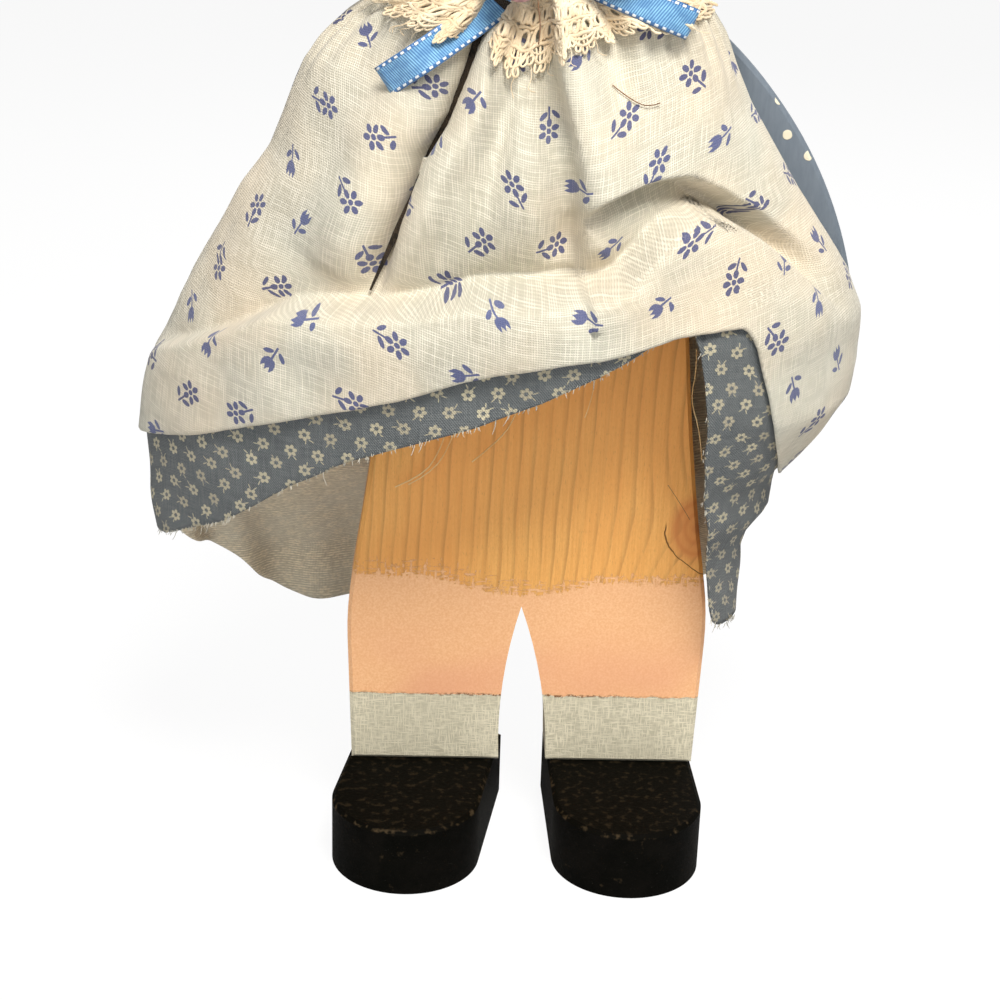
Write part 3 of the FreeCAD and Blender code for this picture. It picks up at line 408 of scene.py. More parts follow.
def make_sleeve_paint(side):
    """A slate-blue painted sleeve with cream brush dots, and a flesh hand."""
    finish = Finish(side + "_sleeve_paint", Specular_IOR_Level=0.35)
    joint = [j for j in frame["joints"] if j["name"] == side + "_shoulder"][0]
    pivot = (Vector(joint["pos_m"]) - MIDDLE) * 1000
    hand_out = math.radians(ARM_OUT[side])
    sign = 1 if side == "left" else -1
    down = Vector((sign * math.sin(hand_out), 0, -math.cos(hand_out)))
    along = (finish.x - pivot.x) * down.x + (finish.z - pivot.z) * down.z
    brush = vector(along * 0.25, finish.y, finish.x * 0.9).noise(1.0, 4.0, 0.6)
    blue = brush.tint(rgb(98, 108, 120), rgb(122, 131, 140))
    across = (finish.x - pivot.x) * -down.z + (finish.z - pivot.z) * down.x
    spots = along.node("ShaderNodeTexVoronoi", {"Vector": vector(across, along), "Scale": 0.125,
                                                "Randomness": 0.7}, feature="F1", voronoi_dimensions="2D")
    daub = finish.place.noise(0.6, 2.0) * 0.05
    dots = (1 - (spots + daub).ease(0.165, 0.19)) * (abs(finish.y - pivot.y) > ARM_FACE)
    blue = (dots * 0.95).tint(blue, rgb(232, 222, 196))
    flesh = brush.tint(rgb(238, 176, 130), rgb(248, 196, 152))
    edge = along + (brush - 0.5) * 1.6
    paint = (edge > SLEEVE_END).tint(blue, flesh)
    wood = (1 - abs(edge - SLEEVE_END).ease(0.2, 0.7)) * (brush > 0.55)
    paint = (wood * 0.6).tint(paint, rgb(178, 128, 78))
    return finish.set(brush + dots * 0.7, 0.14, Base_Color=paint, Roughness=0.5 + brush * 0.25)


def make_bare_wood():
    finish = Finish("peg_wood", Roughness=0.6)
    fibre = finish.stretched(1.6, 0.15, 1.6).noise(1.0, 4.0, 0.6)
    rings = ((finish.x * finish.x + finish.z * finish.z) ** 0.5).wave(1.4)
    wood = (fibre * 0.7 + rings * 0.3).ease(0.3, 0.75).tint(rgb(176, 122, 70), rgb(218, 172, 116))
    return finish.set(fibre, 0.1, Base_Color=wood)


def make_satin(name, matte=False):
    """Blue satin ribbon with a twill glint painted into its colour as a painted highlight, and white stitches
    along both edges.
    """
    finish = Finish(name, flat=True, Roughness=0.5 if matte else 0.34, Sheen_Weight=0.3, Anisotropic=0.4)
    twill = (finish.y + finish.x * 0.25).wave(0.62)
    edge = abs(finish.x)
    stitch = (1 - abs(edge - 3.1).ease(0.2, 0.36)) * (finish.y.wave(1.9).ease(0.4, 0.6))
    streak = finish.stretched(0.5, 0.25, 1.0).noise(1.0, 2.0).ease(0.3, 0.7)
    # Painted highlight: the twill glint is light blue painted into the colour, in stripes
    glint = twill * (0.45 + streak * 0.55) * (edge < 2.75)
    blue = glint.tint(rgb(56, 106, 160), rgb(142, 196, 226))
    if matte:
        fleck = finish.place.noise(2.2, 2.0, 0.7).ease(0.66, 0.72) * (0.15 + (edge > 2.9) * 0.6)
        blue = (streak * 0.5).tint(rgb(66, 122, 176), rgb(92, 148, 194))
        blue = fleck.tint(blue, rgb(214, 228, 234))
        stitch = fleck * 0
    colour = (stitch * 0.95).tint(blue, rgb(236, 240, 242))
    return finish.set(twill * 0.5 + stitch * 1.6, 0.12, Base_Color=colour)


def make_thread(name, dark, light, fuzz=1.0):
    finish = Finish(name, Roughness=0.9, Sheen_Weight=0.3)
    fibre = finish.place.noise(3.2, 3.0, 0.65)
    tone = finish.place.noise(0.14, 2.0).ease(0.3, 0.7)
    return finish.set(fibre, 0.12 * fuzz, Base_Color=(fibre * 0.6 + tone * 0.5).tint(dark, light))


# Shapes

def dressed(piece, slot, *replaced):
    """The piece rides on the doll with smooth faces, and the parts it replaces are hidden. Its slot is not
    used.
    """
    for face in piece.data.polygons:
        face.use_smooth = True
    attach(piece, "doll")
    if replaced:
        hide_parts(*replaced)
    return piece


def smooth_line(points, soften=3.0):
    """A smooth curve through (place, value) pairs."""
    places, values = np.array(sorted(points), float).T
    dense = np.arange(places[0] - 30, places[-1] + 30, 0.5)
    reach = int(soften / 0.5)
    kernel = np.exp(-np.linspace(-2, 2, 2 * reach + 1) ** 2)
    padded = np.pad(np.interp(dense, places, values), reach, mode="edge")
    line = np.convolve(padded, kernel / kernel.sum(), "valid")
    return lambda spot: np.interp(spot, dense, line)


def new_piece(name, mesh, materials):
    piece = bpy.data.objects.new(name, mesh)
    bpy.context.scene.collection.objects.link(piece)
    for material in materials:
        mesh.materials.append(material)
    return piece


def cloth(name, spots, flat, materials, thick=0.5, closed=False):
    """Cloth through rows of places, with its flat coordinates and a wall.

    The last column of a closed one is its first.
    """
    rows, columns = spots.shape[:2]
    count = columns - 1 if closed else columns
    mesh = bpy.data.meshes.new(name)
    places = [tuple(at(*spot)) for spot in spots[:, :count].reshape(-1, 3)]
    faces, corners = [], []
    for row in range(rows - 1):
        for column in range(columns - 1):
            ring = ((row, column), (row + 1, column), (row + 1, column + 1), (row, column + 1))
            faces.append([r * count + c % count for r, c in ring])
            corners += [tuple(flat[r, c] * MM) for r, c in ring]
    mesh.from_pydata(places, [], faces)
    layer = mesh.uv_layers.new(name="flat")
    layer.data.foreach_set("uv", np.array(corners, np.float32).ravel())
    piece = new_piece(name, mesh, materials)
    wall = piece.modifiers.new("wall", "SOLIDIFY")
    wall.thickness = thick * MM
    wall.offset = -1.0
    wall.material_offset = len(materials) - 1
    return piece


def strands(name, lines, material):
    """Threads along lines of (place, radius) pairs, as closed tubes."""
    curve = bpy.data.curves.new(name, "CURVE")
    curve.dimensions = "3D"
    curve.bevel_depth = 1.0
    curve.bevel_resolution = 1
    curve.resolution_u = 3
    curve.use_fill_caps = True
    for line in lines:
        spline = curve.splines.new("NURBS")
        spline.points.add(len(line) - 1)
        for point, (place, radius) in zip(spline.points, line):
            point.co = (*at(*place), 1)
            point.radius = radius * MM
        spline.order_u = 3
        spline.use_endpoint_u = True
    holder = bpy.data.objects.new(name + "_line", curve)
    bpy.context.scene.collection.objects.link(holder)
    bpy.context.view_layer.update()
    mesh = bpy.data.meshes.new_from_object(holder.evaluated_get(bpy.context.evaluated_depsgraph_get()))
    bpy.data.objects.remove(holder)
    mesh.materials.clear()
    return new_piece(name, mesh, [material])


# The dress's form, level by level: half widths, and depths to the front and the back

DRESS_LEFT = smooth_line([
    (224, 15.0), (221, 15.6), (219.5, 27), (217, 38), (211, 47), (205.6, 52.5), (200, 57), (195, 59.3),
    (187, 62.2), (179, 65.5), (170.5, 71.5), (162, 76.5), (148, 84.5), (133, 91.5), (128, 94.5),
    (109, 98.0), (92, 98.0), (79, 97), (74, 96.8), (66, 96), (58, 95), (50, 94), (36, 93)], 1.5)
DRESS_RIGHT = smooth_line([
    (224, 15.0), (221, 15.6), (219.5, 25), (217, 33), (214, 38), (209, 41.5), (193, 48.8), (185.7, 53.6),
    (171.3, 62.5), (159, 70.9), (152.6, 76.0), (144, 79.3), (131, 80.0), (122, 79.0), (112.4, 71.8),
    (107.9, 68.4), (102.7, 63.2), (99, 62.6), (92, 62.5), (86, 57.5), (81, 55.8), (70, 56.5), (56, 57.0),
    (50, 56), (40, 52)], 1.5)
DRESS_FRONT = smooth_line([
    (224, 13.6), (221, 13.2), (214, 17.4), (204.4, 21.0), (190, 28), (171.3, 36.5), (154.7, 41.0),
    (142.5, 44.5), (124, 45.0), (100, 42), (76, 37), (50, 31)], 3.0)
SKIRT_BACK = smooth_line([(224, 13.2), (92, 14.4), (76, 30), (60, 43), (44, 49), (38, 49.5)], 3.0)

DEEP_FOLD = [(-8, 226), (-12.5, 217), (-17.0, 208.8), (-20.0, 200.6), (-24.7, 190.3), (-30.7, 181.3),
             (-36.5, 167.4), (-42.5, 152.1), (-46.0, 146.0)]
SOFT_FOLD = [(-4.5, 226), (-10.5, 206.3), (-9.8, 194.8), (-12.5, 183.6), (-15.3, 170.2), (-17.3, 157.4)]
LAP_FOLD = [(-0.5, 226), (1.1, 205.1), (4.1, 194.2), (6.7, 185.2), (8.0, 178.7), (8.7, 168.5), (9.6, 158.3)]
HOLLOW = [(10.5, 226), (13.7, 211.5), (14.6, 205.5), (16.8, 197.3), (22.4, 191.6), (32.0, 188.5)]
LIP = [(4.0, 166.5), (8.1, 171.5), (13.6, 175.0), (18.5, 176.9), (24.8, 178.4), (32.9, 178.8), (42.3, 175.2),
       (52.1, 169.4), (60.9, 162.0), (70.2, 152.5), (79.0, 143.0)]
BAND_TOP = smooth_line([
    (-99, 126), (-94.1, 130.3), (-89.9, 133.0), (-73.3, 141.8), (-61.4, 148.4), (-50.3, 149.9),
    (-38.7, 150.4), (-28.6, 151.7), (-17.9, 154.3), (-1.6, 154.9), (12, 156.6), (18, 159), (24, 165.6),
    (28, 169.5), (33, 171.9), (37.4, 172.4), (43.9, 170.5), (49.4, 167.2), (58.2, 160.4), (67.6, 151.2),
    (78, 140.0), (84, 132)], 2.0)
DRESS_HEM = smooth_line([
    (-99, 109), (-97.8, 109.9), (-85.9, 114.2), (-73.5, 119.2), (-65.6, 122.4), (-46.7, 128.2),
    (-32.0, 132.7), (-21.1, 136.7), (-10.3, 139.7), (0.3, 141.8), (12.5, 143.7), (30.7, 147.7),
    (46.6, 149.1), (49.0, 147.0), (53.0, 134.0), (57.5, 118.0), (61.5, 104.5), (64.5, 99.5), (90, 97)], 1.0)
DRESS_BACK_HEM = smooth_line([(-99, 110), (90, 97)])


def along_line(x, z, line):
    """Each place's distance from a line, its side of it, and how far along the line it is.

    The side is +1 to the left of the way the line runs, which is to the right of a line that runs down.
    """
    points = np.array(line, float)
    lengths = np.hypot(*np.diff(points, axis=0).T)
    total, gone = lengths.sum(), 0.0
    best = np.full(x.shape, 1e9)
    side, share = np.zeros(x.shape), np.zeros(x.shape)
    for (x0, z0), (x1, z1), length in zip(points, points[1:], lengths):
        t = np.clip(((x - x0) * (x1 - x0) + (z - z0) * (z1 - z0)) / length ** 2, 0, 1)
        off_x, off_z = x - x0 - t * (x1 - x0), z - z0 - t * (z1 - z0)
        away = np.hypot(off_x, off_z)
        nearer = away < best
        turned = (x1 - x0) * off_z - (z1 - z0) * off_x
        best = np.where(nearer, away, best)
        side = np.where(nearer, np.sign(turned), side)
        share = np.where(nearer, (gone + t * length) / total, share)
        gone += length
    return best, side, share


def ease(value, low, high):
    """0 below low, 1 above high, and smooth between."""
    share = np.clip((value - low) / (high - low), 0, 1)
    return share * share * (3 - 2 * share)


def hump(distance, width):
    """1 at no distance, and smoothly down to 0 on both sides."""
    return np.exp(-(distance / width) ** 2)


def dress_folds(x, z):
    """How far the dress's front stands out from its plain oval, in mm."""
    out = np.zeros(x.shape)
    away, side, share = along_line(x, z, DEEP_FOLD)
    signed = away * side
    strong = 1 - ease(share, 0.62, 1.0)
    out -= 16.0 * hump(signed, 2.4) * (0.3 + 0.7 * strong) * (1 - ease(share, 0.86, 1.0))
    out += 4.6 * hump(signed + 9, 7) * (1 - ease(share, 0.8, 1.0))
    out += 4.0 * hump(signed - 6.0, 4.0) * strong
    away, side, share = along_line(x, z, SOFT_FOLD)
    out -= 4.2 * hump(away, 3.2) * (1 - ease(share, 0.55, 1.0))
    away, side, share = along_line(x, z, LAP_FOLD)
    signed = away * side
    fade = (1 - 0.6 * ease(share, 0.9, 1.0)) * (0.5 + 0.5 * ease(share, 0.0, 0.2))
    out += fade * (7.0 * ease(signed, -0.6, 0.6) * np.exp(-np.maximum(signed, 0) / 10)
                   - 8.5 * hump(signed + 3.2, 5.0))
    away, side, share = along_line(x, z, HOLLOW)
    out -= 8.5 * hump(away, 5.4) * (1 - 0.9 * ease(share, 0.4, 0.9))
    out += 2.0 * hump(x - 33 - (214 - z) * 0.25, 7) * ease(z, 175, 195)
    away, side, share = along_line(x, z, LIP)
    signed = away * side
    fade = ease(share, 0.0, 0.16) * (1 - ease(share, 0.55, 0.95))
    out += fade * (3.4 * ease(signed, -1.6, 1.6) * np.exp(-np.maximum(signed, 0) / 10.0)
                   - 6.4 * ease(-signed, -1.6, 2.0) * np.exp(-np.maximum(-signed, 0) / 10.0))
    below = BAND_TOP(x) - z
    strong = (0.35 + 0.65 * ease(x, -92, -60)) * (1 - ease(x, 46, 74))
    out += strong * 6.5 * ease(below, -1.0, 2.2) * np.exp(-np.maximum(below - 6, 0) / 38)
    middle = 0.5 + 0.75 * hump(x + 8, 25)
    out -= strong * middle * 15.0 * np.exp(-np.maximum(-below, 0) / 17.0) * ease(-below, -1.6, 0.6)
    return out


def wrinkles(x, z, seed, size, height):
    """Small slow ups and downs all over a cloth, in mm."""
    flat = [noise.noise(Vector((a / size, b / size, seed))) for a, b in zip(x.ravel(), z.ravel())]
    return np.array(flat).reshape(x.shape) * height


def pinch(x, z):
    """How far the lips of the deepest fold are drawn sideways over it."""
    away, side, share = along_line(x, z, DEEP_FOLD)
    lips = np.exp(-((away - 2.6) / 1.3) ** 2)
    return -side * lips * 1.7 * (1 - ease(share, 0.62, 0.95))


def drape(turn, z, inset=0.0, folds=1.0):
    """Places on the skirt, at a share of the way round from the left over the front, and at a height.

    A skirt that is inset lies flat, and further in, where the one over it hides it.
    """
    turn = np.mod(turn, 2.0)
    front = turn <= 1
    angle = np.pi * (1 + turn)
    c, s = np.cos(angle), np.sin(angle)
    wide = np.where(c < 0, DRESS_LEFT(z), DRESS_RIGHT(z)) - inset
    deep = np.where(front, DRESS_FRONT(z), SKIRT_BACK(z)) - inset
    square = np.where(front, 2.0 + 0.6 * ease(z, 205, 221), 3.6)
    x = np.sign(c) * np.abs(c) ** (2 / square) * wide
    y = np.sign(s) * np.abs(s) ** (2 / square) * deep
    normal = np.stack([x / wide ** 2, y / deep ** 2])
    normal /= np.linalg.norm(normal, axis=0)
    fade = ease(turn, 0.0, 0.07) * (1 - ease(turn, 0.93, 1.0)) * front
    out = dress_folds(x, z) * fade * folds
    if inset:
        hidden = ease(z - DRESS_HEM(x), 3, 22) * front
        out = out * (1 - hidden) - (2.0 + 18.0 * fade) * hidden
    gather = (np.sin(turn * 2 * np.pi * 19 + 2.2 * np.sin(turn * 17)) * 0.8
              * ease(z, 192, 216) * (1 - ease(z, 219, 223)))
    gather += np.sin(turn * 2 * np.pi * 9) * 1.8 * (1 - ease(z, 60, 95)) * (1 - front)
    out += gather + wrinkles(x, z + turn * 50, 1.3, 13, 0.9) * (0.4 + 0.6 * front)
    across = x + normal[0] * out + np.where(front, pinch(x, z), 0.0) * fade
    back = y + normal[1] * out
    # The cloth never falls through the board's front
    edge = 45.5 - 11.0 * ease(z, 62, 204)
    board = (1 - ease(np.abs(across), edge, edge + 5)) * (1 - ease(z, 210, 217))
    back = np.where(front, np.minimum(back, (inset * 0.5 - 11.0) * board), back)
    return np.stack([across, back, z], axis=-1)


# The dress is widest at this height, and its print narrows with it below
WIDEST = 135.0


def skirt_grid(columns, rows, top, hem, back_hem, inset, turn_under):
    """Rows from the top to an uneven hem, which may turn under, and their flat coordinates."""
    turns = np.linspace(-0.5, 1.5, columns)
    heights = np.arange(top, 39.5, -0.5)
    around, level = np.meshgrid(turns, heights)
    dense = drape(around, level, inset)
    plain = drape(around, level, inset, 0.3)
    front = (turns >= 0) & (turns <= 1)
    limit = np.where(front[None, :], hem(dense[..., 0]), back_hem(dense[..., 0]))
    under = dense[..., 2] <= limit
    low = heights[np.where(under.any(0), under.argmax(0), len(heights) - 1)]
    for _ in range(3):
        low[1:-1] = (low[:-2] + 2 * low[1:-1] + low[2:]) / 4
    share = np.linspace(0, 1, rows)[:, None] ** 0.92
    z = top - share * (top - low)[None, :]
    spots = drape(np.broadcast_to(turns, z.shape), z, inset)
    step = np.linalg.norm(np.diff(plain, axis=1), axis=2)
    across = np.concatenate([np.zeros((len(heights), 1)), np.cumsum(step, axis=1)], axis=1)
    across -= across[:, [columns // 2]]
    if not inset:
        widest = across[np.abs(heights - WIDEST).argmin(), -1]
        kept = np.where(heights < WIDEST, widest / across[:, -1], 1.0)[:, None]
        across = np.where(across > 0, across * kept, across)
    fall = np.linalg.norm(np.diff(plain, axis=0, prepend=plain[:1]), axis=2)
    down = np.cumsum(fall, axis=0)
    kernel = np.hanning(43) / np.hanning(43).sum()
    down = np.array([np.convolve(np.pad(line, 21, mode="wrap"), kernel, "valid") for line in down])
    u, v = np.empty(z.shape), np.empty(z.shape)
    for column in range(columns):
        u[:, column] = np.interp(-z[:, column], -heights, across[:, column])
        v[:, column] = -np.interp(-z[:, column], -heights, down[:, column])
    if not turn_under:
        return spots, np.stack([u, v], axis=-1)
    inward = -spots[-1, :, :2]
    inward /= np.linalg.norm(inward, axis=1, keepdims=True)
    extra, flat_extra = [], []
    for turn, gone in ((0.9, 0.5), (1.8, 1.0), (2.9, 1.6)):
        lift = np.array([1 - math.cos(turn), math.sin(turn)]) * turn_under * 0.35
        row = spots[-1].copy()
        row[:, :2] += inward * lift[0]
        row[:, 2] -= lift[1] - (turn_under * gone * 0.5 if gone > 1 else 0)
        extra.append(row)
        flat_extra.append(np.stack([u[-1], v[-1] - gone * turn_under], axis=-1))
    spots = np.concatenate([spots, np.array(extra)])
    flat = np.concatenate([np.stack([u, v], axis=-1), np.array(flat_extra)])
    return spots, flat


print_cotton = make_print_cotton()
calico = make_calico("calico")
calico_back = make_calico("calico_wrong_side", wrong_side=True)

spots, flat = skirt_grid(columns=421, rows=120, top=224.0, hem=DRESS_HEM, back_hem=DRESS_BACK_HEM,
                         inset=0.0, turn_under=2.0)
dress = cloth("dress_cloth", spots, flat, [print_cotton, print_cotton], 0.6, closed=True)
dressed(dress, "dress_cotton", "dress")

UNDER_HEM = smooth_line([
    (-99, 82), (-94, 82), (-90, 84), (-83, 88), (-76, 92.0), (-68.5, 98.0), (-58, 106.0), (-45, 114.0),
    (-30, 120.0), (-14, 126.0), (0, 132.0), (14, 139.5), (26, 146.5), (35.5, 150.5), (37.0, 140.0),
    (38.5, 122.0), (40.5, 105.0), (43.0, 88.0), (45.0, 70.0), (46.5, 63.0), (50, 61.5), (58, 62.0),
    (64, 63)], 1.0)
UNDER_BACK_HEM = smooth_line([
    (-99, 82), (-96.5, 80), (-93, 73), (-84, 62.0), (-77, 57), (-72.5, 48.5), (-66.5, 43), (-61, 41.0),
    (-54, 39.3), (-47, 38.2), (-30, 40), (0, 42.5), (30, 46), (47, 55), (58, 60), (64, 61)], 1.5)
WAIST_HALF, WAIST_FRONT, WAIST_BACK, WAIST_TOP = 40.6, 17.6, 10.8, 181.0


def waist_ring(turns, out=0.0):
    """Places round the tied waist, which is square like the board inside it."""
    angle = np.pi * (1 + np.mod(turns, 2.0))
    c, s = np.cos(angle), np.sin(angle)
    deep = np.where(s < 0, WAIST_FRONT, WAIST_BACK) + out
    return np.sign(c) * np.abs(c) ** 0.5 * (WAIST_HALF + out), np.sign(s) * np.abs(s) ** 0.5 * deep


UNDER_COLUMNS = 321
spots, flat = skirt_grid(columns=UNDER_COLUMNS, rows=76, top=WAIST_TOP, hem=UNDER_HEM,
                         back_hem=UNDER_BACK_HEM, inset=1.9, turn_under=0.0)
tied = ease(spots[..., 2], 148, WAIST_TOP - 4)
ring_x, ring_y = waist_ring(np.linspace(-0.5, 1.5, UNDER_COLUMNS))
pleat = 0.35 * np.sin(np.arange(UNDER_COLUMNS) * 0.9) * tied
spots[..., 0] = spots[..., 0] * (1 - tied) + (ring_x + pleat) * tied
spots[..., 1] = spots[..., 1] * (1 - tied) + (ring_y - pleat) * tied
underskirt = cloth("underskirt_cloth", spots, flat, [calico, calico_back], 0.45, closed=True)
dressed(underskirt, "calico", "underskirt")
raw_hem = spots[-1]


def make_tape():
    """Plain off-white cotton tape in herringbone twill."""
    finish = Finish("cotton_tape", flat=True, Roughness=0.9)
    twill = (finish.y + abs(finish.x) * 1.2).wave(0.9)
    fuzz = finish.place.noise(2.4, 3.0, 0.6)
    cotton = (twill * 0.4 + fuzz * 0.6).tint(rgb(206, 198, 180), rgb(240, 234, 220))
    return finish.set(twill, 0.1, Base_Color=cotton)


def front_place(x, z, out):
    """A place in front of the dress, which follows its folds."""
    flat_x, flat_z = np.array([float(x)]), np.array([float(z)])
    wide = float((DRESS_LEFT if x < 0 else DRESS_RIGHT)(z))
    x = max(min(x, 0.985 * wide), -0.985 * wide)
    deep = float(DRESS_FRONT(z))
    square = 2.0 + 0.6 * float(ease(flat_z, 205, 221)[0])
    across = min(abs(x) / wide, 0.995)
    y = -deep * (1 - across ** square) ** (1 / square)
    normal = Vector((x / wide ** 2, y / deep ** 2, 0)).normalized()
    folds = float(dress_folds(flat_x, flat_z)[0]) * float(ease(np.array([1 - across]), 0.0, 0.12)[0])
    return Vector((x, y, z)) + normal * (folds + out)


# A strip of dark calico at the bottom of the deepest fold, painted dark to stand for the fold's shade
FOLD_HALVES = (2.0, 2.0, 2.0, 1.9, 1.6, 0.9, 0.25)
rows, flat = [], []
for (x, z), fold_half in zip(DEEP_FOLD[1:8], FOLD_HALVES):
    bottom = front_place(x, z, 3.4)
    bottom.y = min(bottom.y, -14.0)
    rows.append([tuple(bottom + Vector((0.92, 0, -0.39)) * fold_half * share) for share in (-1, 0, 1)])
    flat.append([(x + fold_half * share, z) for share in (-1, 0, 1)])
painted_shade_calico = make_calico("calico_painted_shade", painted_shade=True)
pleat = cloth("deep_fold_painted_shade", np.array(rows), np.array(flat, float), [painted_shade_calico], 0.4)
dressed(pleat, "calico")


# Lace

LACE_EDGE = smooth_line([
    (-46, 218.5), (-41.1, 216.4), (-35.3, 213.5), (-27.4, 210.7), (-20.1, 207.7), (-11.5, 204.3),
    (-8.0, 201.6), (-5.8, 200.6), (-3.6, 201.4), (-1.3, 203.6), (5.3, 207.0), (13.2, 208.6), (19.9, 210.8),
    (25.7, 211.8), (33.9, 213.7), (38.2, 215.6), (46, 218.5)], 0.7)
LACE_COLUMNS = 32
chance = random.Random(4)


def lace_place(column, depth, out=0.0):
    """A place on the gathered collar, by its column of stitches and its depth from the neck."""
    share = 2 * column / LACE_COLUMNS - 1
    low_x = 42.5 * share
    top_x = 14.5 * math.sin(share * 1.5)
    x = top_x + (low_x - top_x) * depth
    top_z = 221.8 - 1.2 * abs(share)
    z = top_z + (float(LACE_EDGE(low_x)) - top_z) * depth
    ruffle = math.sin(column * 1.25 + 1.0) * 1.5 * depth
    outward = 1.9 + 1.7 * math.sin(column * 1.9) * depth + 0.8 * depth + out
    return front_place(x + ruffle, z, max(outward, 1.0))


def thread_line(points, radius, wobble=0.12):
    line = []
    for column, depth, out in points:
        column += chance.uniform(-wobble, wobble)
        depth += chance.uniform(-wobble, wobble) * 0.16
        line.append((lace_place(column, depth, out), radius * chance.uniform(0.85, 1.15)))
    return line


def ring(column, depth, wide, high, radius):
    """A closed stitch round an oval hole."""
    turns = [step * 2 * math.pi / 8 + 0.3 for step in range(10)]
    return thread_line([(column + wide * math.cos(t), depth + high * math.sin(t), 0.25 * math.sin(3 * t))
                        for t in turns], radius, 0.05)


# Oval holes of the lace: where each starts in its column, and its depth, half width and half height
LACE_HOLES = ((0.5, 0.2, 0.3, 0.075), (0.0, 0.41, 0.3, 0.09), (0.5, 0.63, 0.34, 0.095))


def make_lace():
    lines = []
    for depth, radius in ((0.02, 0.55), (0.1, 0.42), (0.3, 0.46), (0.52, 0.48), (0.74, 0.5)):
        waved = [(step * 0.5, depth + 0.02 * math.sin(step * 2.1), 0.2 * math.sin(step * 1.7))
                 for step in range(2 * LACE_COLUMNS + 1)]
        lines.append(thread_line(waved, radius, 0.1))
    for column in range(LACE_COLUMNS):
        for start, depth, wide, high in LACE_HOLES:
            lines.append(ring(column + start, depth, wide, high, 0.44))
            lines.append(ring(column + start + 0.5, depth, 0.16, high * 0.8, 0.4))
        for share in (0.1, 0.35, 0.65, 0.9):
            lines.append(thread_line([(column + share, 0.0, 0.0), (column + share + 0.08, 0.12, 0.3),
                                      (column + share - 0.05, 0.28, 0.1), (column + share, 0.34, 0.1)], 0.28))
    for scallop in range(LACE_COLUMNS // 2):
        left, right = 2 * scallop, 2 * scallop + 2
        arc = lambda share, low: (left + (right - left) * share, 0.74 + low * math.sin(share * math.pi), 0.15)
        for low, radius in ((0.1, 0.36), (0.2, 0.4)):
            lines.append(thread_line([arc(step / 8, low) for step in range(9)], radius, 0.06))
        for step in range(1, 8):
            column, depth, _ = arc(step / 8, 0.13)
            spoke = [(column, 0.74, 0.0), (column + 0.05, depth, 0.2), arc(step / 8, 0.2)]
            lines.append(thread_line(spoke, 0.28))
        for step in range(5):
            column, depth, _ = arc(0.1 + step * 0.2, 0.23)
            loop = [(column - 0.13, depth - 0.02, 0.0), (column - 0.22, depth + 0.045, 0.3),
                    (column, depth + 0.085, 0.4), (column + 0.22, depth + 0.045, 0.3),
                    (column + 0.13, depth - 0.02, 0.0)]
            lines.append(thread_line(loop, 0.3, 0.07))
    for _ in range(10):
        column = chance.uniform(2, LACE_COLUMNS - 2)
        lines.append(thread_line([(column, 0.85, 0.2), (column + 0.2, 1.02, 0.8), (column - 0.1, 1.12, 0.4),
                                  (column + 0.4, 1.2, 0.6)], 0.1, 0.1))
    return strands("lace_threads", lines, make_thread("lace_cotton", rgb(196, 168, 128), rgb(242, 226, 196)))


lace = dressed(make_lace(), "lace", "lace_collar")


# Ribbon, bow and rose

RIBBON_HALF = 3.6


def ribbon_strip(name, centres, across, materials, thick=0.35, curl=0.25, half=RIBBON_HALF):
    """Ribbon along centres. Across points over its width, and its edges curl back a little."""
    rows, flat = [], []
    gone = 0.0
    side = Vector(across).normalized()
    for here, centre in enumerate(centres):
        gone += (centre - centres[here - 1]).length if here else 0.0
        ahead = centres[min(here + 1, len(centres) - 1)] - centres[max(here - 1, 0)]
        up = side.cross(ahead).normalized()
        row, flat_row = [], []
        for share in np.linspace(-1, 1, 9):
            row.append(tuple(centre + side * half * share - up * curl * share ** 4))
            flat_row.append((share * half, gone))
        rows.append(row)
        flat.append(flat_row)
    return cloth(name, np.array(rows), np.array(flat), materials, thick)


def smooth_route(points, steps):
    """Places along a smooth route through a few points."""
    points = [Vector(point) for point in points]
    ends = [2 * points[0] - points[1]] + points + [2 * points[-1] - points[-2]]
    route = []
    for a, b, c, d in zip(ends, ends[1:], ends[2:], ends[3:]):
        for step in range(steps):
            t = step / steps
            route.append(0.5 * ((2 * b) + (c - a) * t + (2 * a - 5 * b + 4 * c - d) * t * t
                                + (3 * b - a - 3 * c + d) * t ** 3))
    return route + [points[-1]]


tape_route = []
for turn in np.linspace(0, 2, 121):
    tape_x, tape_y = waist_ring(turn, 0.75)
    tape_route.append(Vector((float(tape_x), float(tape_y), WAIST_TOP - 2.0)))
waist_tape = ribbon_strip("waist_tape", tape_route, (0, 0, 1), [make_tape()], 0.4, 0.0, half=2.0)
dressed(waist_tape, "tie_tape", "waist_tie")

satin = make_satin("satin")
satin_back = make_satin("satin_back", matte=True)

tails = []
for name, tail_spots, across, sides in (
    ("ribbon_tail_left", ((-3.0, 222.2, 5.4), (-8.5, 219.0, 5.8), (-17.5, 212.6, 5.6), (-27.0, 205.8, 4.4),
                          (-36.4, 199.2, 2.2)), (0.56, -0.12, -0.83), [satin, satin_back]),
    ("ribbon_tail_right", ((3.0, 223.2, 4.6), (9.0, 221.2, 5.4), (16.0, 218.6, 5.8), (23.0, 215.8, 5.4),
                           (29.6, 213.0, 4.2)), (-0.42, -0.12, -0.9), [satin_back, satin]),
):
    route = smooth_route([front_place(*spot) for spot in tail_spots], 8)
    tails.append(ribbon_strip(name, route, across, sides))

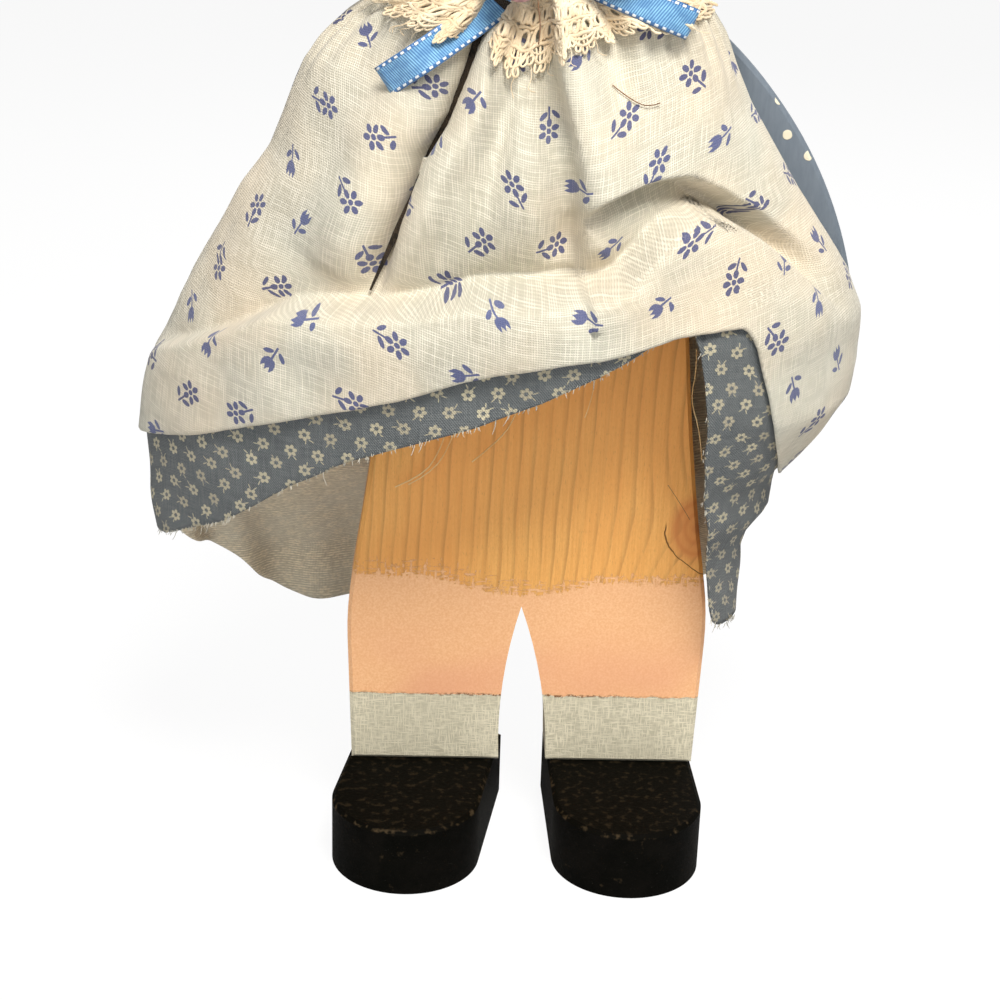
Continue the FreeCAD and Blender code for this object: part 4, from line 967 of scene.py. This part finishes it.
BAND_HEIGHT = 224.0
band = []
level = DRESS_LEFT(221.0) + 1.3
for step in range(81):
    turn = step / 80 * 2 * math.pi - math.pi / 2
    square = 2.6 if math.sin(turn) < 0 else 3.6
    c, w = math.cos(turn), math.sin(turn)
    band.append(Vector((math.copysign(abs(c) ** (2 / square), c) * level,
                        math.copysign(abs(w) ** (2 / square), w) * (14.9 if w < 0 else 15.0), BAND_HEIGHT)))
neck_band = ribbon_strip("ribbon_neck_band", band, (0, 0, 1), [satin, satin_back], 0.35, 0.1)
band_middle = at(0, 0, BAND_HEIGHT).z
for place in neck_band.data.vertices:
    place.co.z = band_middle + (place.co.z - band_middle) * 0.72

KNOT = Vector((0, -16.6, 223.2))
# The way of a bow loop: how far out from the knot, and how deep
LOOP_PATH = ((1.0, -1.0), (7.0, -3.0), (15.0, -3.6), (21.0, -2.6), (23.4, 0.2), (21.0, 2.6), (14.0, 2.4),
             (6.0, 1.2), (1.0, 0.6))
for name, side in (("ribbon_loop_left", -1), ("ribbon_loop_right", 1)):
    lift = math.radians(15)
    path = []
    for along, deep in LOOP_PATH:
        path.append(KNOT + Vector((side * along * math.cos(lift), deep, along * math.sin(lift))))
    route = smooth_route(path, 6)
    across = (-side * math.sin(lift), 0.0, math.cos(lift))
    loop = ribbon_strip(name, route, across, [satin, satin_back], 0.35, 0.2)
    squeeze = at(*KNOT)
    for place in loop.data.vertices:
        away = abs(place.co.x - squeeze.x) / MM
        narrow = 0.45 + 0.55 * min(away / 9, 1)
        middle_z = squeeze.z + away * MM * math.tan(lift)
        place.co.z = middle_z + (place.co.z - middle_z) * narrow
    dressed(loop, "blue_ribbon")

knot_path = [KNOT + Vector((0, -2.6 * math.cos(turn), 4.1 * math.sin(turn)))
             for turn in np.linspace(0, 2 * math.pi, 25)]
knot = ribbon_strip("ribbon_knot", knot_path, (1, 0, 0.12), [satin, satin_back], 0.4, 0.5)
for piece in (*tails, neck_band):
    dressed(piece, "blue_ribbon")
dressed(knot, "blue_ribbon", "neck_ribbon")


def make_rose():
    """A ribbon coiled into a rose: each turn flares out from a tight heart."""
    finish = Finish("rose_satin", Roughness=0.5, Sheen_Weight=0.3)
    tone = finish.place.noise(0.5, 2.0)
    material = finish.set(finish.place.noise(3.0), 0.08,
                          Base_Color=tone.ease(0.3, 0.7).tint(rgb(122, 84, 84), rgb(176, 128, 124)))
    rows = []
    steps, rises = 110, 7
    for step in range(steps + 1):
        share = step / steps
        turn = share * 3.6 * 2 * math.pi
        radius = 0.7 + 4.9 * share
        petal = 0.5 + 0.5 * math.sin(turn * 1.37 + 1)
        row = []
        for rise in np.linspace(0, 1, rises):
            flare = radius * (0.55 + 0.45 * rise) + (share * 1.1 + petal * 0.5) * rise ** 3
            row.append((math.cos(turn) * flare, -5.6 * rise * (1 - 0.45 * share) - 0.4 * petal * rise,
                        math.sin(turn) * flare))
        rows.append(row)
    heart = np.array(rows) + np.array([-8.2, -20.0, 223.4])
    flat = np.array([[(step, rise) for rise in range(rises)] for step in range(steps + 1)], float)
    return cloth("rose_coil", heart, flat, [material], 0.35)


rose = dressed(make_rose(), "rose_ribbon", "ribbon_rose")


# Loose threads at the raw edges

def fringe(places, way, chance):
    """Short threads that stand out from a raw edge."""
    lines = []
    for place in places:
        if chance.random() > 0.6:
            continue
        start = Vector(place) + Vector((chance.uniform(-0.6, 0.6), 0, chance.uniform(-0.1, 0.5)))
        reach = chance.uniform(0.3, 1.3) * (2.2 if chance.random() < 0.08 else 1.0)
        bend = Vector((chance.uniform(-0.5, 0.5), chance.uniform(-0.4, 0.2), 0)) * reach
        lines.append([(start, 0.1), (start + way * reach * 0.5, 0.09), (start + way * reach + bend, 0.05)])
    return lines


def loose(points, radius=0.15):
    return [(Vector(point), radius) for point in points]


chance = random.Random(12)
front_edge = [spot for spot in raw_hem if spot[1] < -8]
lines = []
for _ in range(3):
    lines += fringe(front_edge, Vector((-0.1, -0.25, -1.0)), chance)
grey_thread = make_thread("grey_thread", rgb(120, 120, 112), rgb(206, 200, 184))
calico_fringe = strands("calico_fringe", lines, grey_thread)
WOOD_FRONT = -10.4
lines = [
    loose([(-19.8, -13.5, 117.0), (-21.9, WOOD_FRONT, 110.9), (-23.3, WOOD_FRONT, 106.1),
           (-26.9, WOOD_FRONT, 99.3), (-34.3, WOOD_FRONT, 95.9)]),
    loose([(-18.0, -13.5, 117.4), (-20.3, WOOD_FRONT - 0.3, 108.9), (-24.6, WOOD_FRONT - 0.4, 100.3),
           (-31.0, WOOD_FRONT, 96.6)], 0.12),
    loose([(-3.2, -13.0, 122.4), (-4.9, WOOD_FRONT, 114.9), (-8.5, WOOD_FRONT, 109.0),
           (-15.3, WOOD_FRONT, 103.0)]),
    loose([(14.8, -13.0, 133.0), (14.6, WOOD_FRONT, 125.8), (13.4, WOOD_FRONT, 118.7),
           (12.3, WOOD_FRONT, 115.3)], 0.09),
    loose([(38.4, -13.0, 134.5), (39.2, WOOD_FRONT, 127.9), (38.0, WOOD_FRONT, 120.6),
           (41.0, WOOD_FRONT, 112.8), (42.0, WOOD_FRONT, 104.8)], 0.13)]
golden_thread = make_thread("golden_thread", rgb(222, 168, 92), rgb(255, 232, 176))
wood_threads = strands("golden_threads", lines, golden_thread)
lines = [loose([(33.9, WOOD_FRONT, 97.9), (37.0, WOOD_FRONT - 0.3, 93.6), (40.0, WOOD_FRONT, 88.6)], 0.07),
         loose([(-3.6, -23.0, 219.4), (-3.2, -22.6, 216.2), (-2.6, -23.4, 212.0),
                (-3.0, -22.6, 208.6)], 0.16)]
hair_on_dress = [(15, 199.2), (16.7, 197.9), (20.2, 195.8), (22.9, 194.9), (25.2, 195.9)]
lines.append([(front_place(x, z, 1.0), 0.13) for x, z in hair_on_dress])
brown_thread = make_thread("brown_thread", rgb(84, 56, 34), rgb(140, 98, 60))
brown_threads = strands("brown_threads", lines, brown_thread)
for piece in (calico_fringe, wood_threads, brown_threads):
    dressed(piece, "calico")


# Hair

hair = make_thread("brown_hair", rgb(70, 44, 26), rgb(150, 104, 62), fuzz=2.0)
HEAD_HEIGHT, CAP_RADIUS = 262.0, 37.6


def wavy(route, radius, swing, turns, phase, thin_end=0.4):
    """A lock of hair that winds round a route."""
    points = smooth_route(route, 6)
    line = []
    for here, point in enumerate(points):
        ahead = (points[min(here + 1, len(points) - 1)] - points[max(here - 1, 0)]).normalized()
        side = ahead.cross(Vector((0.2, 1, 0.1))).normalized()
        up = side.cross(ahead)
        share = here / (len(points) - 1)
        turn = phase + share * turns * 2 * math.pi
        reach = swing * (0.35 + 0.65 * min(share * 4, 1))
        thick = radius * (1 - (1 - thin_end) * max(share - 0.75, 0) * 4)
        line.append((point + side * math.cos(turn) * reach + up * math.sin(turn) * reach, thick))
    return line


def head_place(turn, radius, y, centre):
    return (radius * math.sin(turn), y, centre + radius * math.cos(turn))


def make_hair_cap():
    """Locks that arch over the head, and locks that fall down its back."""
    lines = []
    rows = [(29.5 + 2.1 * step, -11.6 - 0.35 * min(step, 4 - step), 256.0 + 1.5 * step) for step in range(5)]
    rows += [(38.4, -9.5 + 2.6 * step, HEAD_HEIGHT) for step in range(10)]
    for radius, y, centre in rows:
        for side in (-1, 1):
            end = math.acos(max(min((247.0 - centre) / radius, 1), -1))
            route = [head_place(side * end * share, radius, y, centre)
                     for share in (0.02, 0.25, 0.5, 0.75, 1.0)]
            for _ in range(2):
                lines.append(wavy(route, 1.15, chance.uniform(0.35, 0.6), chance.uniform(5, 8),
                                  chance.uniform(0, 6.3), 0.7))
    for step in range(27):
        spread = (step / 26 - 0.5) * 2
        route = []
        for share in (0.0, 0.25, 0.5, 0.75, 1.0):
            wide = 36.0 * math.sin(math.acos(max(min((1 - 2 * share) * 0.9, 1), -1))) if share < 0.5 else 35.5
            z = 298.0 - share * 51.0
            limit = math.sqrt(max(CAP_RADIUS ** 2 - (z - HEAD_HEIGHT) ** 2, 1))
            fan = 0.25 + 0.75 * min(share * 2.2, 1)
            route.append((spread * min(wide, limit) * fan, 15.2 + 0.8 * (share > 0), z))
        for _ in range(2):
            lines.append(wavy(route, 1.2, chance.uniform(0.3, 0.6), chance.uniform(4, 7),
                              chance.uniform(0, 6.3), 0.7))
    return lines


def make_cap_base():
    """The hair's solid ground under its locks."""
    form = bmesh.new()
    mesh = bpy.data.meshes.new("hair_ground")
    face, low_end, count = 28.4, 246.4, 72
    rings = []
    hoops = ((face, -9.6, 256.0), (face, -11.6, 256.0), (CAP_RADIUS - 2, -11.8, HEAD_HEIGHT),
             (CAP_RADIUS, -9.6, HEAD_HEIGHT), (CAP_RADIUS, 13.0, HEAD_HEIGHT),
             (CAP_RADIUS - 2, 15.0, HEAD_HEIGHT), (0.5, 15.2, HEAD_HEIGHT))
    for radius, y, centre in hoops:
        low = math.acos(max(min((low_end - centre) / max(radius, 16.0), 1), -1))
        spots = []
        for step in range(count + 1):
            turn = -low + 2 * low * step / count
            height = max(centre + radius * math.cos(turn), low_end)
            spots.append(form.verts.new(at(radius * math.sin(turn), y, height)))
        rings.append(spots)
    for first, second in zip(rings, rings[1:]):
        for a, b, c, d in zip(first, first[1:], second[1:], second):
            form.faces.new((a, b, c, d))
    bmesh.ops.remove_doubles(form, verts=form.verts, dist=1e-5)
    bmesh.ops.recalc_face_normals(form, faces=form.faces)
    form.to_mesh(mesh)
    form.free()
    ground = new_piece("hair_ground", mesh, [hair])
    wall = ground.modifiers.new("wall", "SOLIDIFY")
    wall.thickness = 0.8 * MM
    wall.offset = -1
    return ground


dressed(make_cap_base(), "hair")
dressed(strands("hair_locks", make_hair_cap(), hair), "hair", "wig")

for name, sign in (("left_curls", 1), ("right_curls", -1)):
    lines = []
    for across, swing, long in ((-1, 0.85, 0.88), (0, 1.0, 1.0), (1, 0.8, 0.94)):
        for start in range(5):
            line = []
            for step in range(41):
                share = step / 40
                x = 36.5 + (0.7 * share ** 2 + 0.3 * share) * swing * 10.5
                turn = start * 2 * math.pi / 5 + share * 4.2 * 2 * math.pi * sign
                reach = 3.7 * (1 - 0.42 * share) * (0.6 + 0.4 * min(share * 6, 1))
                thick = 1.25 * (1 - 0.3 * share) * (1.0 if share < 0.94 else 0.6)
                line.append((Vector((sign * x + reach * math.cos(turn), across * 8.0 + reach * math.sin(turn),
                                     247.5 - share * long * 27.0)), thick))
            lines.append(line)
    dressed(strands(name + "_ringlets", lines, hair), "hair", name)


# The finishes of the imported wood

shoe_paint, peg_wood = make_shoe_paint(), make_bare_wood()
for node, material in (
    ("body_board", make_painted_pine()), ("left_shoe", shoe_paint), ("right_shoe", shoe_paint),
    ("left_arm", make_sleeve_paint("left")), ("right_arm", make_sleeve_paint("right")),
    ("left_shoulder_peg", peg_wood), ("right_shoulder_peg", peg_wood),
    ("left_shoe_dowel", peg_wood), ("right_shoe_dowel", peg_wood),
):
    NODES[node].data.materials.clear()
    NODES[node].data.materials.append(material)


# Camera, light and floor

def aim(camera_place, pitch, yaw, roll):
    """Where a camera stands and how it is turned: down by pitch, aside by yaw, over by roll."""
    forward = Vector((-math.sin(yaw) * math.cos(pitch), math.cos(yaw) * math.cos(pitch), -math.sin(pitch)))
    right = Vector((math.cos(yaw), math.sin(yaw), 0))
    up = right.cross(forward)
    right, up = (math.cos(roll) * right + math.sin(roll) * up, math.cos(roll) * up - math.sin(roll) * right)
    turn = Matrix((right, up, -forward)).transposed().to_4x4()
    return Matrix.Translation(camera_place) @ turn


camera_data = bpy.data.cameras.new("camera")
camera_data.lens = 75.6
camera_data.sensor_width = 36.0
camera = bpy.data.objects.new("camera", camera_data)
CAMERA_PLACE = at(-23.3, -497.2, 292.3)
CAMERA_PITCH, CAMERA_YAW, CAMERA_ROLL = math.radians(22.26), math.radians(-1.8), math.radians(1.82)
camera.matrix_world = aim(CAMERA_PLACE, CAMERA_PITCH, CAMERA_YAW, CAMERA_ROLL)
bpy.context.scene.collection.objects.link(camera)
bpy.context.scene.camera = camera


def lamp(name, place, size, power, colour):
    light = bpy.data.lights.new(name, "AREA")
    light.shape = "DISK"
    light.size, light.energy, light.color = size, power, colour
    holder = bpy.data.objects.new(name, light)
    holder.location = at(*place)
    holder.rotation_euler = (at(0, 0, 150) - at(*place)).to_track_quat("-Z", "Y").to_euler()
    bpy.context.scene.collection.objects.link(holder)


lamp("key", (110, -410, 820), 0.34, 9.2, (1.0, 0.98, 0.94))
lamp("fill", (-260, -840, 330), 0.8, 2.5, (0.94, 0.97, 1.0))
lamp("rim", (200, 600, 700), 0.6, 3.6, (1.0, 1.0, 1.0))

# The camera sees a white sky, whose light on the doll is weaker
world = bpy.data.worlds.new("studio")
bpy.context.scene.world = world
world.use_nodes = True
tree = world.node_tree
sky = tree.nodes["Background"]
sky.inputs["Color"].default_value = (1, 1, 1, 1)
ray = Socket(tree.nodes.new("ShaderNodeLightPath").outputs["Is Camera Ray"])
tree.links.new((ray * 0.78 + 0.22).socket, sky.inputs["Strength"])

# A floor that the camera sees nearly white, and that still takes shadows
mesh = bpy.data.meshes.new("floor")
form = bmesh.new()
bmesh.ops.create_grid(form, x_segments=1, y_segments=1, size=4.0)
form.to_mesh(mesh)
form.free()
floor_finish = bpy.data.materials.new("pale_floor")
floor_finish.use_nodes = True
tree = floor_finish.node_tree
matte = tree.nodes["Principled BSDF"]
matte.inputs["Base Color"].default_value = (0.62, 0.62, 0.62, 1)
matte.inputs["Specular IOR Level"].default_value = 0.0
matte.inputs["Roughness"].default_value = 0.9
glow = tree.nodes.new("ShaderNodeEmission")
glow.inputs["Strength"].default_value = 1.08
ray = Socket(tree.nodes.new("ShaderNodeLightPath").outputs["Is Camera Ray"])
mixed = ray.node("ShaderNodeMixShader",
                 {0: ray * 0.84, 1: Socket(matte.outputs[0]), 2: Socket(glow.outputs[0])})
tree.links.new(mixed.socket, tree.nodes["Material Output"].inputs["Surface"])
floor = new_piece("floor", mesh, [floor_finish])

bpy.context.scene.view_settings.view_transform = "Standard"
